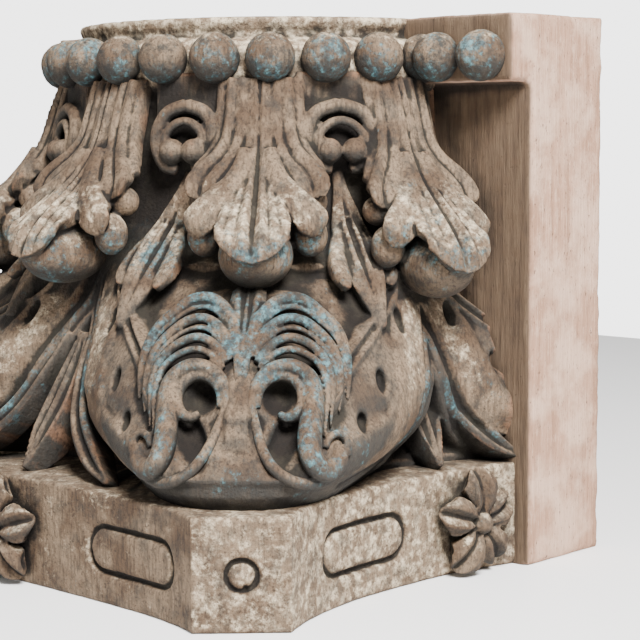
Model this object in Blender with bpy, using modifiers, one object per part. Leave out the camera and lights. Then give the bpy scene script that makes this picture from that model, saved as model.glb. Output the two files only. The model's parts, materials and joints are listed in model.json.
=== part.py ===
# Carved wooden Corinthian half capital, one block of wood, standing on its abacus.
# Metres, +Z up. The origin is on the floor, on the axis of the bead ring, which lies in
# the front plane of the wall board. The front faces -Y. Angles are degrees from the front
# towards +X.

import math

import bmesh
import bpy
from mathutils import Vector

# Overall sizes
HEIGHT = 0.400
BOARD_WIDTH = 0.506
BOARD_DEPTH = 0.089

# Abacus
ABACUS_HEIGHT = 0.0755
FRONT_REACH = 0.277
FRONT_FLARE = 0.013
SIDE_REACH = 0.2245
SIDE_FLARE = 0.026
SIDE_HOLLOW_PLACE = 0.110
HORN_WIDTH = 0.064
HORN_SETBACK = 0.0024
FLARE_POWER = 2.6
GROOVE_WIDTH = 0.0035
GROOVE_DEPTH = 0.004
PANEL_LENGTH = 0.090
PANEL_HEIGHT = 0.031
PANEL_MIDDLE_HEIGHT = 0.0375
FRONT_PANEL_PLACE = 0.134
SIDE_PANEL_PLACE = 0.148
HORN_RING_RADIUS = 0.010
SLOPE_STEP = 0.01

# Bell, its corner bowls and the ring of beads
BELL_RADIUS = 0.162
RING_RADIUS = 0.171
RING_HEIGHT = 0.370
BEAD_RADIUS = 0.0185
BEAD_COUNT = 13
BEAD_STEP = 13.5
MIDDLE_BEAD_ANGLE = 2.2
BEAD_SEAM_TURN = 0.17
RIM_RADIUS = 0.156
RIM_BAND_HEIGHT = 0.048
STRIP_PROJECTION = 0.0235
STRIP_BEAD_PLACES = (0.189, 0.230)
CORNER_ANGLE = 39.5
LEAF_ANGLES = (0.0, 40.4, 74.6)
ARCH_ANGLES = (22.4, 59.0)
SIDE_LEAF_DROP = 10
SIDE_LEAF_WIDTH = 0.88
SMALL_LEAF_TOP = 288
SMALL_LEAF_LEANS = (-0.26, 0.12)
TIP_ROUNDING = 0.75
BLADE_BACK_SHARE = 0.85
SUNK_SHARE = 0.3
ROSETTE_RADIUS = 0.039
ROSETTE_PROJECTION = 0.024
ROSETTE_GAP_TO_BOARD = 0.0425
ROSETTE_PETALS = 5

# Fineness of the carved surface
CARVING_GRAIN = 0.0036
CARVING_SHARE = 0.034
ROSETTE_GRAIN = 0.0030
ROSETTE_SHARE = 0.07
SCROLL_HALF_ANGLE = 15
SCROLL_LOW = 0.085
SCROLL_HIGH = 0.212
SCROLL_BACK = 0.150
SCROLL_SHARE = 0.085
BEAD_SIDES = 10
GROOVE_END_STEPS = 6
RIM_STEPS = 40
BELL_COLUMNS = 140
BELL_LEVELS = 60
OUTLINE_STEPS = 10
SMOOTH_ANGLE = 40
MILLIMETRE = 0.001
CARVED_BELL_RADIUS = 0.162
CARVED_BELL_HEIGHT = 0.3245
CARVED_ABACUS_TOP = 75.5

# Finish
WOOD_COLOUR = (0.36, 0.31, 0.25, 1)
WOOD_ROUGHNESS = 0.85

WIDER = BELL_RADIUS / CARVED_BELL_RADIUS
TALLER = (HEIGHT - ABACUS_HEIGHT) / CARVED_BELL_HEIGHT


def smooth_rows(rows, count):
    """Rows of values read from a smooth curve through the given rows."""
    last = len(rows) - 1
    before = [2 * a - b for a, b in zip(rows[0], rows[1])]
    after = [2 * a - b for a, b in zip(rows[last], rows[last - 1])]
    padded = [before] + [list(row) for row in rows] + [after]
    result = []
    for step in range(count):
        place_on_curve = last * step / (count - 1)
        index = min(int(place_on_curve), last - 1)
        t = place_on_curve - index
        a, b, c, d = padded[index:index + 4]
        result.append([
            0.5 * (2 * q + (r - p) * t + (2 * p - 5 * q + 4 * r - s) * t ** 2
                   + (3 * q - p - 3 * r + s) * t ** 3)
            for p, q, r, s in zip(a, b, c, d)])
    return result


def read_table(table, height):
    """Value of a table of (height in mm, value) pairs at a height in mm."""
    if height <= table[0][0]:
        return table[0][1]
    for (low, first), (high, second) in zip(table, table[1:]):
        if height <= high:
            return first + (second - first) * (height - low) / (high - low)
    return table[-1][1]


def polar(angle, radius, height):
    """Point in metres from an angle, and a radius and height in carving millimetres."""
    turn = math.radians(angle)
    reach = radius * MILLIMETRE * WIDER
    level = ABACUS_HEIGHT + (height - CARVED_ABACUS_TOP) * MILLIMETRE * TALLER
    return Vector((reach * math.sin(turn), -reach * math.cos(turn), level))


# Bell profile and the bulge of its corner bowls, in carving millimetres and degrees
BELL_PROFILE = ((75.5, 200), (110, 199), (150, 192), (200, 179), (250, 170), (300, 165), (356, 162))
BOWL_BULGE = ((75.5, 131), (85, 139), (95, 139), (105, 133), (115, 124), (130, 110), (150, 98),
              (170, 84), (190, 66), (210, 45), (230, 20), (250, 0))
SCROLL_REACH = 396.5
SCROLL_TAPER = 0.75
BOWL_SPREAD = ((75.5, 17), (90, 20), (105, 24.5), (120, 28.5), (140, 32), (210, 33))


def bowl_surface(angle, height):
    """Radius of the bell with its corner bowls."""
    spread = read_table(BOWL_SPREAD, height)
    aside = abs(abs(angle) - CORNER_ANGLE) / spread
    return read_table(BELL_PROFILE, height) + read_table(BOWL_BULGE, height) * math.exp(-aside ** 2.6)


def leaf_frame(angle):
    """Places on a leaf: across in mm, radius in mm, height in mm."""
    def to_point(across, radius, height):
        return polar(angle + math.degrees(across / radius), radius, height)
    return to_point


def surface_frame(angle, lift, height):
    """Places on the bowl surface: angle, lift off the surface in mm, height in mm."""
    return polar(angle, bowl_surface(angle, height) + lift, height)


def corner_frame(across, lift, height):
    """Places over the corner bowl: across in mm, lift off the bowl in mm, height in mm."""
    angle = CORNER_ANGLE + math.degrees(across / (SCROLL_REACH - SCROLL_TAPER * height))
    return surface_frame(angle, lift, height)


def leaning_frame(middle, lean):
    """Places on the bell for a small leaf that leans aside as it falls."""
    def to_point(across, lift, height):
        shifted = across + lean * max(SMALL_LEAF_TOP - height, 0)
        angle = middle + math.degrees(shifted / bowl_surface(middle, height))
        return surface_frame(angle, lift, height)
    return to_point


def new_object(name, mesh, collection):
    made = bpy.data.objects.new(name, mesh)
    collection.objects.link(made)
    return made


def mesh_from_rings(rings, name, collection):
    """Closed mesh lofted through rings of equal counts, with flat ends."""
    count = len(rings[0])
    points = [point for ring in rings for point in ring]
    faces = []
    for ring in range(len(rings) - 1):
        for index in range(count):
            after = (index + 1) % count
            faces.append((ring * count + index, ring * count + after,
                          (ring + 1) * count + after, (ring + 1) * count + index))
    faces.append(tuple(reversed(range(count))))
    faces.append(tuple((len(rings) - 1) * count + index for index in range(count)))
    mesh = bpy.data.meshes.new(name)
    mesh.from_pydata([tuple(point) for point in points], [], faces)
    shape = bmesh.new()
    shape.from_mesh(mesh)
    bmesh.ops.recalc_face_normals(shape, faces=shape.faces)
    shape.to_mesh(mesh)
    shape.free()
    return new_object(name, mesh, collection)


def trunk_section(across):
    """Leaf trunk: two rounded ridges beside a deep middle groove."""
    return 0.20 * (1 - across ** 2) - 0.34 * math.exp(-(across / 0.16) ** 2) \
        + 0.07 * math.cos(across * math.pi * 4)


def lobe_section(across):
    """Side lobe: raised edges and a hollow between them."""
    return 0.30 * math.exp(-((abs(across) - 0.75) / 0.3) ** 2) - 0.10


def strap_section(across):
    """Strap: two rounded ribs side by side."""
    return 0.35 * math.cos(across * math.pi * 2) * (1 - across ** 4) - 0.2 * across ** 4


def round_section(across):
    """Plain crowned front."""
    return 0.5 * (1 - across ** 2)


def smooth_step(low, high, value):
    t = min(max((value - low) / (high - low), 0.0), 1.0)
    return t * t * (3 - 2 * t)


def blade(rows, frame, section, steps, name, collection, columns=9):
    """Leaf blade swept along rows of (a, b, height, half width, thickness) in mm, with a round tip."""
    stations = smooth_rows(rows, steps)
    centres = [frame(row[0], row[1], row[2]) for row in stations]
    rings = []
    side = None
    for index, centre in enumerate(centres):
        tangent = centres[min(index + 1, steps - 1)] - centres[max(index - 1, 0)]
        tangent.normalize()
        if side is None:
            outward = Vector((centre.x, centre.y, 0)).normalized()
            side = tangent.cross(outward)
        side = (side - tangent * side.dot(tangent)).normalized()
        front = side.cross(tangent)
        half_width = max(stations[index][3], 0.6) * MILLIMETRE
        thickness = max(stations[index][4], 1.0) * MILLIMETRE
        rounding = TIP_ROUNDING * half_width * smooth_step(0.5, 1.0, index / (steps - 1))
        ring = []
        for column in range(columns):
            across = 2 * column / (columns - 1) - 1
            spot = centre + side * (half_width * across) + front * (half_width * section(across))
            ring.append(spot - tangent * (rounding * across ** 2))
        for column in range(columns - 1, -1, -1):
            across = 2 * column / (columns - 1) - 1
            spot = centre + side * (half_width * BLADE_BACK_SHARE * across) - front * thickness
            ring.append(spot - tangent * (rounding * across ** 2))
        rings.append(ring)
    return mesh_from_rings(rings, name, collection)


def roll(rows, frame, steps, name, collection):
    """Round scroll along rows of (a, b, height, radius) in mm."""
    stations = smooth_rows(rows, steps)
    curve = bpy.data.curves.new(name, "CURVE")
    curve.dimensions = "3D"
    curve.bevel_depth = MILLIMETRE
    curve.bevel_resolution = 2
    curve.use_fill_caps = True
    spline = curve.splines.new("POLY")
    spline.points.add(steps - 1)
    for point, row in zip(spline.points, stations):
        point.co = (*frame(row[0], row[1], row[2]), 1)
        point.radius = max(row[3], 0.6)
    swept = new_object(name, curve, collection)
    return meshed(swept, collection)


def meshed(source, collection):
    """Plain closed mesh object in place of an object with modifiers or a curve."""
    bpy.context.view_layer.update()
    evaluated = source.evaluated_get(bpy.context.evaluated_depsgraph_get())
    mesh = bpy.data.meshes.new_from_object(evaluated)
    shape = bmesh.new()
    shape.from_mesh(mesh)
    bmesh.ops.remove_doubles(shape, verts=shape.verts, dist=0.00001)
    bmesh.ops.recalc_face_normals(shape, faces=shape.faces)
    shape.to_mesh(mesh)
    shape.free()
    result = new_object(source.name, mesh, collection)
    result.matrix_world = source.matrix_world.copy()
    bpy.data.objects.remove(source)
    return result


def cup(frame, row, angle, name, collection):
    """Rounded underside of a leaf tip: row of (across, radius, height, depth, half width, half height)."""
    across, radius, height, deep, wide, tall = row
    made = ball(frame(across, radius, height), MILLIMETRE, name, collection)
    made.scale = (wide, deep, tall)
    made.rotation_euler.z = math.radians(angle)
    return made


def ball(centre, radius, name, collection):
    """Bead or bud, a sphere primitive at a point."""
    bpy.ops.mesh.primitive_uv_sphere_add(segments=BEAD_SIDES, ring_count=BEAD_SIDES // 2 + 1,
                                         radius=radius, location=centre)
    made = bpy.context.object
    made.name = name
    for holder in list(made.users_collection):
        holder.objects.unlink(made)
    collection.objects.link(made)
    return made


# Big leaf, as rows of (across, radius, height, half width, thickness) in carving mm
LEAF_SPINE = ((0, 172, 354, 11, 14), (0, 181, 335, 10, 16), (0, 188, 315, 10, 18), (0, 196, 300, 11, 20),
              (0, 208, 285, 15, 20), (0, 224, 271, 20, 17), (0, 241, 257, 24.5, 13), (0, 254, 244, 27, 10),
              (0, 261, 229, 26, 6))
UPPER_LOBE = ((17, 173, 354, 9, 14), (18, 182, 330, 10, 14), (20, 188, 312, 10, 14),
              (26, 196, 300, 11, 13), (33, 204, 291, 12, 12), (38.5, 210, 283, 12.5, 10),
              (40, 213, 275, 12.5, 8), (40, 212, 269, 11, 6))
LOWER_LOBE = ((8, 196, 306, 5, 16), (11, 204, 293, 7, 16), (16, 213, 281, 9.5, 16), (26, 222, 270, 11.5, 14),
              (35, 227, 261, 12.5, 11), (39.5, 228, 253, 13, 8), (40, 224, 246, 12, 6))
# Rounded undersides of the leaf tips: (across, radius, height, depth, half width, half height)
UPPER_CUP = (37, 200, 268, 11, 12, 11)
LOWER_CUP = (37, 212, 245, 12, 12.5, 15)
TIP_CUP = (0, 222, 232, 35, 26, 23)
LEAF_ROOT = 354
LEAF_FALL = 123


def mirrored(rows):
    return tuple((-row[0],) + tuple(row[1:]) for row in rows)


def lowered(rows, drop, widen):
    """Rows spread across, and hanging lower the further down they are."""
    return tuple((row[0] * widen, row[1], row[2] - drop * (LEAF_ROOT - row[2]) / LEAF_FALL) + row[3:]
                 for row in rows)


def big_leaf(angle, drop, widen, name, collection):
    """Acanthus leaf that falls from the ring and curls out at its tip."""
    frame = leaf_frame(angle)
    blade(lowered(LEAF_SPINE, drop, widen), frame, trunk_section, 16, name + "_spine", collection, 11)
    cup(frame, lowered((TIP_CUP,), drop, widen)[0], angle, name + "_under", collection)
    for side, turn in (("left", mirrored), ("right", tuple)):
        for label, rows, under in (("upper", UPPER_LOBE, UPPER_CUP), ("lower", LOWER_LOBE, LOWER_CUP)):
            lobe = turn(lowered(rows, drop, widen))
            rounded = turn(lowered((under,), drop, widen))[0]
            blade(lobe, frame, lobe_section, 13, f"{name}_{label}_{side}", collection)
            cup(frame, rounded, angle, f"{name}_{label}_cup_{side}", collection)


# Arches: rows of (across, radius, height, half width), and one ball beside the middle
ARCH_BAND = ((7, 178, 290, 4.5), (17, 179, 294, 6), (23.5, 179, 306, 6), (24, 177, 319, 6),
             (16, 175, 331, 6), (0, 174, 336.5, 6))
ARCH_BALL = (9.5, 181, 302, 8)
# Small leaves: rows of (across, lift, height, half width, thickness)
SMALL_MIDRIB = ((0, 4, 288, 5, 10), (0, 7, 274, 7, 12), (0, 11, 258, 11, 12), (0, 13, 243, 14.5, 12),
                (0, 13, 228, 15, 12), (0, 12, 212, 13, 12), (0, 9, 197, 9, 10), (0, 6, 182, 4, 8))
SMALL_LOBE = ((6, 8, 246, 5, 8), (13, 10, 234, 7, 8), (17, 11, 222, 7.5, 8), (18, 11, 211, 6, 6))


def arch_with_balls(angle, lean, name, collection):
    """Two tendrils that meet in an arch over a pair of balls, and the small leaf below."""
    frame = leaf_frame(angle)
    small_frame = leaning_frame(angle, lean)
    for side, turn in (("left", mirrored), ("right", tuple)):
        roll(turn(ARCH_BAND), frame, 11, f"{name}_band_{side}", collection)
        blade(turn(SMALL_LOBE), small_frame, round_section, 7, f"{name}_leaf_{side}", collection)
        across, radius, height, size = turn((ARCH_BALL,))[0]
        ball(frame(across, radius, height), size * MILLIMETRE, f"{name}_ball_{side}", collection)
    blade(SMALL_MIDRIB, small_frame, trunk_section, 11, name + "_leaf", collection)


# Corner scrolls: rows of (across, lift, height, ...) over the bowl
SCROLL = ((66.5, 4, 106, 6.5), (59, 5, 100, 8), (51, 5, 103, 9), (47, 5, 111, 9.5), (46, 6, 121, 9.5),
          (47, 7, 133, 9), (47, 9, 146, 8), (42.5, 11, 156.5, 7.5), (32, 13, 162, 7), (21, 13, 161, 6.5),
          (13, 11, 154, 5.5), (8.5, 9, 143, 5))
EYE_RING = ((29, 10, 156, 4), (37.5, 9.5, 151, 4.5), (40, 8, 141.5, 4.5), (37, 6, 134, 4.5),
            (30, 4, 131.5, 4))
SCROLL_EDGE = ((8.5, 9, 143, 4.5), (12, 8, 126, 4.5), (17.5, 7, 113, 4.5), (25.5, 6, 102.5, 4.5),
               (37, 5, 95, 4.5), (51, 3, 91.5, 4.5), (64, 1, 94, 4))
SMALL_CURL = ((58.5, 5, 116, 3.5), (64.5, 6, 121, 4), (70.5, 5, 116, 4), (70.5, 4, 107, 5))
CREST = ((4, 10, 178, 5), (10, 14, 192, 5.5), (21, 14, 202, 5.5), (33, 13, 203, 5.5), (45, 11, 196, 5.5),
         (57, 9, 187, 5.5), (66, 8, 175, 5.5), (70, 6, 160, 5), (70.5, 4, 146, 4))
BROAD_BAND = ((8, 11, 163, 5, 12), (14, 15, 177, 7, 12), (24, 17, 187, 8.5, 12), (37, 16, 188, 8.5, 12),
              (50, 14, 183, 8.5, 12), (60, 12, 174, 8, 12), (65, 10, 160, 7.5, 12), (65, 6, 144, 6, 10))
STALK = ((42, 10.5, 166, 4), (51, 10, 159, 4.5), (55, 11, 149, 5.5), (55, 10, 136, 5), (55, 8.5, 122, 4.5))
PALMETTE = ((0, 8, 209, 13, 10), (0, 15, 198, 13, 11), (0, 15, 185, 9, 11), (0, 13, 168, 6.5, 10),
            (0, 10, 150, 5, 8), (0, 7, 134, 3, 6))


def corner_scrolls(name, collection):
    """Two scrolls back to back over the bowl, with a small palmette between."""
    for side, turn in (("right", tuple), ("left", mirrored)):
        for label, rows, steps in (("scroll", SCROLL, 26), ("eye", EYE_RING, 10), ("edge", SCROLL_EDGE, 14),
                                   ("curl", SMALL_CURL, 8), ("crest", CREST, 15), ("stalk", STALK, 9)):
            roll(turn(rows), corner_frame, steps, f"{name}_{label}_{side}", collection)
        blade(turn(BROAD_BAND), corner_frame, lobe_section, 15, f"{name}_band_{side}", collection)
    blade(PALMETTE, corner_frame, lobe_section, 10, name + "_palmette", collection)


# Straps on the bowls: rows of (angle from the corner, lift, height, half width, thickness)
STRAP_OUTER = ((36.5, 3, 214, 7, 12), (34.5, 4, 190, 9, 14), (32, 4, 165, 9, 14), (30, 4, 140, 9, 14),
               (27, 4, 118, 9, 14), (23, 4, 102, 8, 14), (16, 3, 91, 6, 12))
STRAP_INNER = ((28, 2, 203, 5, 10), (22.5, 4, 182, 5, 10), (18, 4, 168, 5, 10), (15, 3, 155, 4, 10))
SIDE_BLADE = ((0, 2, 160, 5, 10), (0.5, 8, 130, 8, 14), (1, 20, 102, 7, 16), (1.5, 34, 80, 2, 12))
SIDE_BLADE_ANGLE = 76.5


def strapwork(collection):
    """Double-ribbed straps that run round each bowl, and the pointed blades between bowls."""
    for side in (-1, 1):
        for label, rows in (("outer", STRAP_OUTER), ("inner", STRAP_INNER)):
            placed = tuple((CORNER_ANGLE + side * row[0],) + row[1:] for row in rows)
            section = strap_section if label == "outer" else round_section
            blade(placed, surface_frame, section, 15, f"strap_{label}_{side}", collection)
    placed = tuple((SIDE_BLADE_ANGLE + row[0],) + row[1:] for row in SIDE_BLADE)
    blade(placed, surface_frame, round_section, 8, "side_blade", collection)


def front_blade(collection):
    blade(SIDE_BLADE, surface_frame, round_section, 8, "front_blade", collection)


def rosette(centre, outward, name, collection):
    """Flower of five broad petals round a bud, on a face of the abacus."""
    along = Vector((0, 0, 1)).cross(outward)
    for petal in range(ROSETTE_PETALS):
        turn = math.tau * (petal + 0.5) / ROSETTE_PETALS
        reach = along * math.cos(turn) + Vector((0, 0, math.sin(turn)))
        spot = centre + reach * (ROSETTE_RADIUS * 0.58) + outward * (ROSETTE_PROJECTION * 0.15)
        made = ball(spot, ROSETTE_RADIUS * 0.42, f"{name}_petal_{petal}", collection)
        turned = outward.to_track_quat("Z", "Y")
        made.rotation_euler = turned.to_euler()
        made.scale = (1, 1, 0.8)
    bud = ROSETTE_PROJECTION * 0.45
    ball(centre + outward * (ROSETTE_PROJECTION - bud), bud, name + "_bud", collection)


# Ground of the bowls: edge of the strap and of the pad under the scrolls, as (height, place) pairs
STRAP_EDGE = ((87, 12), (94, 19.6), (103, 23.9), (119, 27.5), (144, 30.2), (165, 31.8),
              (186, 34.1), (214, 36.5))
PAD_EDGE = ((128, 60), (140, 66), (160, 66), (175, 62), (187, 54), (196, 42), (205, 30), (212, 8))
GROUND_DROP = 15
PAD_LIFT = 6.5
BELL_LOW = 60
BELL_SPAN = 300
# Hollows beside the corner: (place, height, half width, half height, depth) in carving mm
EYE_HOLLOWS = ((25.5, 142.5, 9, 10, 17), (29, 116, 8.5, 14, 12))


def carved_ground(angle, height):
    """Radius of the bell with the hollows of the scrolls and the drop beyond the straps."""
    radius = bowl_surface(angle, height)
    aside = abs(abs(angle) - CORNER_ANGLE)
    place = math.radians(aside) * radius
    past = math.radians(aside - read_table(STRAP_EDGE, height)) * radius
    low = 1 - smooth_step(214, 226, height)
    drop = GROUND_DROP * smooth_step(10, 20, past) * smooth_step(78, 92, height) * low
    pad = PAD_LIFT * (1 - smooth_step(-4, 3, place - read_table(PAD_EDGE, height)))
    pad *= smooth_step(126, 138, height) * (1 - smooth_step(205, 214, height))
    for middle, level, wide, tall, deep in EYE_HOLLOWS:
        away = ((place - middle) / wide) ** 2 + ((height - level) / tall) ** 2
        drop += deep * math.exp(-away ** 2)
    return radius + pad - drop


def bell(collection):
    """Bell with its bowls, lofted through level sections, with its back inside the board."""
    rings = []
    into_board = Vector((0, BOARD_DEPTH * SUNK_SHARE, 0))
    angles = [180 * column / BELL_COLUMNS - 90 for column in range(BELL_COLUMNS + 1)]
    for level in range(BELL_LEVELS + 1):
        height = BELL_LOW + BELL_SPAN * level / BELL_LEVELS
        ring = [polar(angle, carved_ground(angle, height), height) for angle in angles]
        ring.append(ring[-1] + into_board)
        ring.append(ring[0] + into_board)
        rings.append(ring)
    return mesh_from_rings(rings, "bell", collection)


def joined(objects, name, collection):
    """One mesh object holding copies of several, each in its place."""
    shape = bmesh.new()
    for source in objects:
        mesh = source.data.copy()
        mesh.transform(source.matrix_world)
        shape.from_mesh(mesh)
        bpy.data.meshes.remove(mesh)
    mesh = bpy.data.meshes.new(name)
    shape.to_mesh(mesh)
    shape.free()
    for source in list(objects):
        bpy.data.objects.remove(source)
    return new_object(name, mesh, collection)


def keep_largest_body(target):
    """Drops the closed pockets that overlapping forms leave inside."""
    shape = bmesh.new()
    shape.from_mesh(target.data)
    unseen = set(shape.verts)
    bodies = []
    while unseen:
        start = unseen.pop()
        body = [start]
        queue = [start]
        while queue:
            for edge in queue.pop().link_edges:
                for vert in edge.verts:
                    if vert in unseen:
                        unseen.remove(vert)
                        body.append(vert)
                        queue.append(vert)
        bodies.append(body)
    bodies.sort(key=len, reverse=True)
    for body in bodies[1:]:
        bmesh.ops.delete(shape, geom=body, context="VERTS")
    shape.to_mesh(target.data)
    shape.free()


def add_modifier(target, kind, **settings):
    modifier = target.modifiers.new(kind.title(), kind)
    for name, value in settings.items():
        setattr(modifier, name, value)
    return modifier


def cut_with(target, cutter, operation, collection):
    """Result of a Boolean between two closed meshes."""
    cutter.hide_render = True
    cutter.display_type = "WIRE"
    add_modifier(target, "BOOLEAN", object=cutter, operation=operation, solver="EXACT")
    return meshed(target, collection)


def carved_skin(forms, grain, share, collection):
    """Overlapping forms merged into one skin, and thinned less over the corner scrolls."""
    add_modifier(forms, "REMESH", mode="VOXEL", voxel_size=grain)
    skin = meshed(forms, collection)
    keep_largest_body(skin)
    thinned = skin.vertex_groups.new(name="thinned")
    for vert in skin.data.vertices:
        angle = math.degrees(math.atan2(vert.co.x, -vert.co.y))
        near_corner = abs(abs(angle) - CORNER_ANGLE) < SCROLL_HALF_ANGLE
        on_scrolls = near_corner and SCROLL_LOW < vert.co.z < SCROLL_HIGH and vert.co.y < -SCROLL_BACK
        thinned.add([vert.index], 0.0 if on_scrolls else 1.0, "REPLACE")
    add_modifier(skin, "DECIMATE", ratio=max(share, SCROLL_SHARE))
    add_modifier(skin, "DECIMATE", ratio=share / max(share, SCROLL_SHARE), vertex_group="thinned")
    result = meshed(skin, collection)
    result.vertex_groups.clear()
    return result


def rosettes(collection):
    """Rosettes in the middle of the front and beside the board."""
    side_face = side_reach(ROSETTE_GAP_TO_BOARD)
    places = [(Vector((sign * side_face, -ROSETTE_GAP_TO_BOARD, ABACUS_HEIGHT / 2)), Vector((sign, 0, 0)))
              for sign in (-1, 1)]
    places.append((Vector((0, -FRONT_REACH, ABACUS_HEIGHT / 2)), Vector((0, -1, 0))))
    made = []
    for index, (centre, outward) in enumerate(places):
        holder = bpy.data.collections.new(f"rosette_{index}")
        collection.children.link(holder)
        rosette(centre, outward, f"rosette_{index}", holder)
        bpy.context.view_layer.update()
        forms = joined(list(holder.objects), f"rosette_{index}", collection)
        made.append(carved_skin(forms, ROSETTE_GRAIN, ROSETTE_SHARE, collection))
    return made


def carving(collection):
    """All the carved forms of the bell, merged into one skin and thinned."""
    right = bpy.data.collections.new("right_half_forms")
    middle = bpy.data.collections.new("middle_forms")
    for holder in (right, middle):
        collection.children.link(holder)
    big_leaf(LEAF_ANGLES[0], 0, 1, "front_leaf", middle)
    big_leaf(LEAF_ANGLES[1], 0, 1, "corner_leaf", right)
    big_leaf(LEAF_ANGLES[2], SIDE_LEAF_DROP, SIDE_LEAF_WIDTH, "side_leaf", right)
    for place_name, angle, lean in zip(("first_arch", "second_arch"), ARCH_ANGLES, SMALL_LEAF_LEANS):
        arch_with_balls(angle, lean, place_name, right)
    corner_scrolls("corner", right)
    strapwork(right)
    front_blade(middle)
    bell(middle)
    bpy.context.view_layer.update()
    half = joined(list(right.objects), "right_forms", collection)
    add_modifier(half, "MIRROR", use_axis=(True, False, False), use_mirror_merge=False)
    whole = meshed(half, collection)
    forms = joined([whole] + list(middle.objects), "carving", collection)
    return carved_skin(forms, CARVING_GRAIN, CARVING_SHARE, collection)


def block(low, high, name, collection):
    """Box between two corners."""
    middle = [(a + b) / 2 for a, b in zip(low, high)]
    bpy.ops.mesh.primitive_cube_add(size=1, location=middle)
    made = bpy.context.object
    made.name = name
    made.scale = [b - a for a, b in zip(low, high)]
    bpy.ops.object.transform_apply(location=True, rotation=True, scale=True)
    for holder in list(made.users_collection):
        holder.objects.unlink(made)
    collection.objects.link(made)
    return made


def extruded(outline, low, high, name, collection):
    """Flat outline in plan, raised between two heights."""
    curve = bpy.data.curves.new(name, "CURVE")
    curve.dimensions = "2D"
    curve.fill_mode = "BOTH"
    curve.extrude = (high - low) / 2
    spline = curve.splines.new("POLY")
    spline.points.add(len(outline) - 1)
    for point, (x, y) in zip(spline.points, outline):
        point.co = (x, y, 0, 1)
    spline.use_cyclic_u = True
    raised = new_object(name, curve, collection)
    raised.location.z = (low + high) / 2
    return meshed(raised, collection)


def side_reach(place):
    """Reach of the hollow side of the abacus at a distance from the board."""
    horn_end = FRONT_REACH + FRONT_FLARE - HORN_WIDTH / math.sqrt(2)
    aside = abs(SIDE_HOLLOW_PLACE - place) / (horn_end - SIDE_HOLLOW_PLACE)
    return SIDE_REACH + SIDE_FLARE * min(aside, 1) ** FLARE_POWER


def horn_middle():
    """Middle of the cut-off right horn in plan, and half its width along either face."""
    half_horn = HORN_WIDTH / 2 / math.sqrt(2)
    return BOARD_WIDTH / 2 - half_horn - HORN_SETBACK, -(FRONT_REACH + FRONT_FLARE - half_horn), half_horn


def abacus_outline():
    """Plan of the abacus: hollow sides, gently flared front and two cut-off horns."""
    horn_x, horn_y, half_horn = horn_middle()
    right = []
    for step in range(OUTLINE_STEPS + 1):
        share = step / OUTLINE_STEPS
        right.append(((horn_x - half_horn) * share, -FRONT_REACH - FRONT_FLARE * share ** 6))
    for step in range(OUTLINE_STEPS + 1):
        y = (horn_y + half_horn) * (1 - step / OUTLINE_STEPS)
        right.append((side_reach(-y), y))
    right.append((right[-1][0], BOARD_DEPTH / 2))
    left = [(-x, y) for x, y in reversed(right) if x > 0]
    return right + left


def abacus_face_frame(middle, outward):
    """Axes on a flat face of the abacus: along it and up."""
    along = Vector((0, 0, 1)).cross(outward)
    return lambda across, up, lift: middle + along * across + Vector((0, 0, up)) + outward * lift


def groove_ring(length, height, frame, name, collection):
    """Cutter for a groove that runs round a long panel with round ends."""
    half_height = height / 2
    half_straight = length / 2 - half_height
    path = []
    for end in (1, -1):
        for step in range(GROOVE_END_STEPS + 1):
            turn = math.pi * step / GROOVE_END_STEPS - math.pi / 2
            spot = (end * (half_straight + half_height * math.cos(turn)), end * half_height * math.sin(turn))
            if all(math.dist(spot, other) > GROOVE_WIDTH / 10 for other in path):
                path.append(spot)
    rings = []
    half_groove = GROOVE_WIDTH / 2
    count = len(path)
    for index, (across, up) in enumerate(path):
        before = Vector(path[index - 1])
        after = Vector(path[(index + 1) % count])
        tangent = (after - before).normalized()
        normal = Vector((tangent.y, -tangent.x))
        ring = []
        for widen, lift in ((-1, 1), (1, 1), (1, -1), (-1, -1)):
            ring.append(frame(across + normal.x * widen * half_groove, up + normal.y * widen * half_groove,
                              lift * GROOVE_DEPTH))
        rings.append(ring)
    mesh = bpy.data.meshes.new(name)
    points = [tuple(point) for ring in rings for point in ring]
    faces = []
    for index in range(count):
        nearest = (index + 1) % count
        for corner in range(4):
            following = (corner + 1) % 4
            faces.append((index * 4 + corner, index * 4 + following, nearest * 4 + following,
                          nearest * 4 + corner))
    mesh.from_pydata(points, [], faces)
    shape = bmesh.new()
    shape.from_mesh(mesh)
    bmesh.ops.recalc_face_normals(shape, faces=shape.faces)
    shape.to_mesh(mesh)
    shape.free()
    return new_object(name, mesh, collection)


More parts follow.
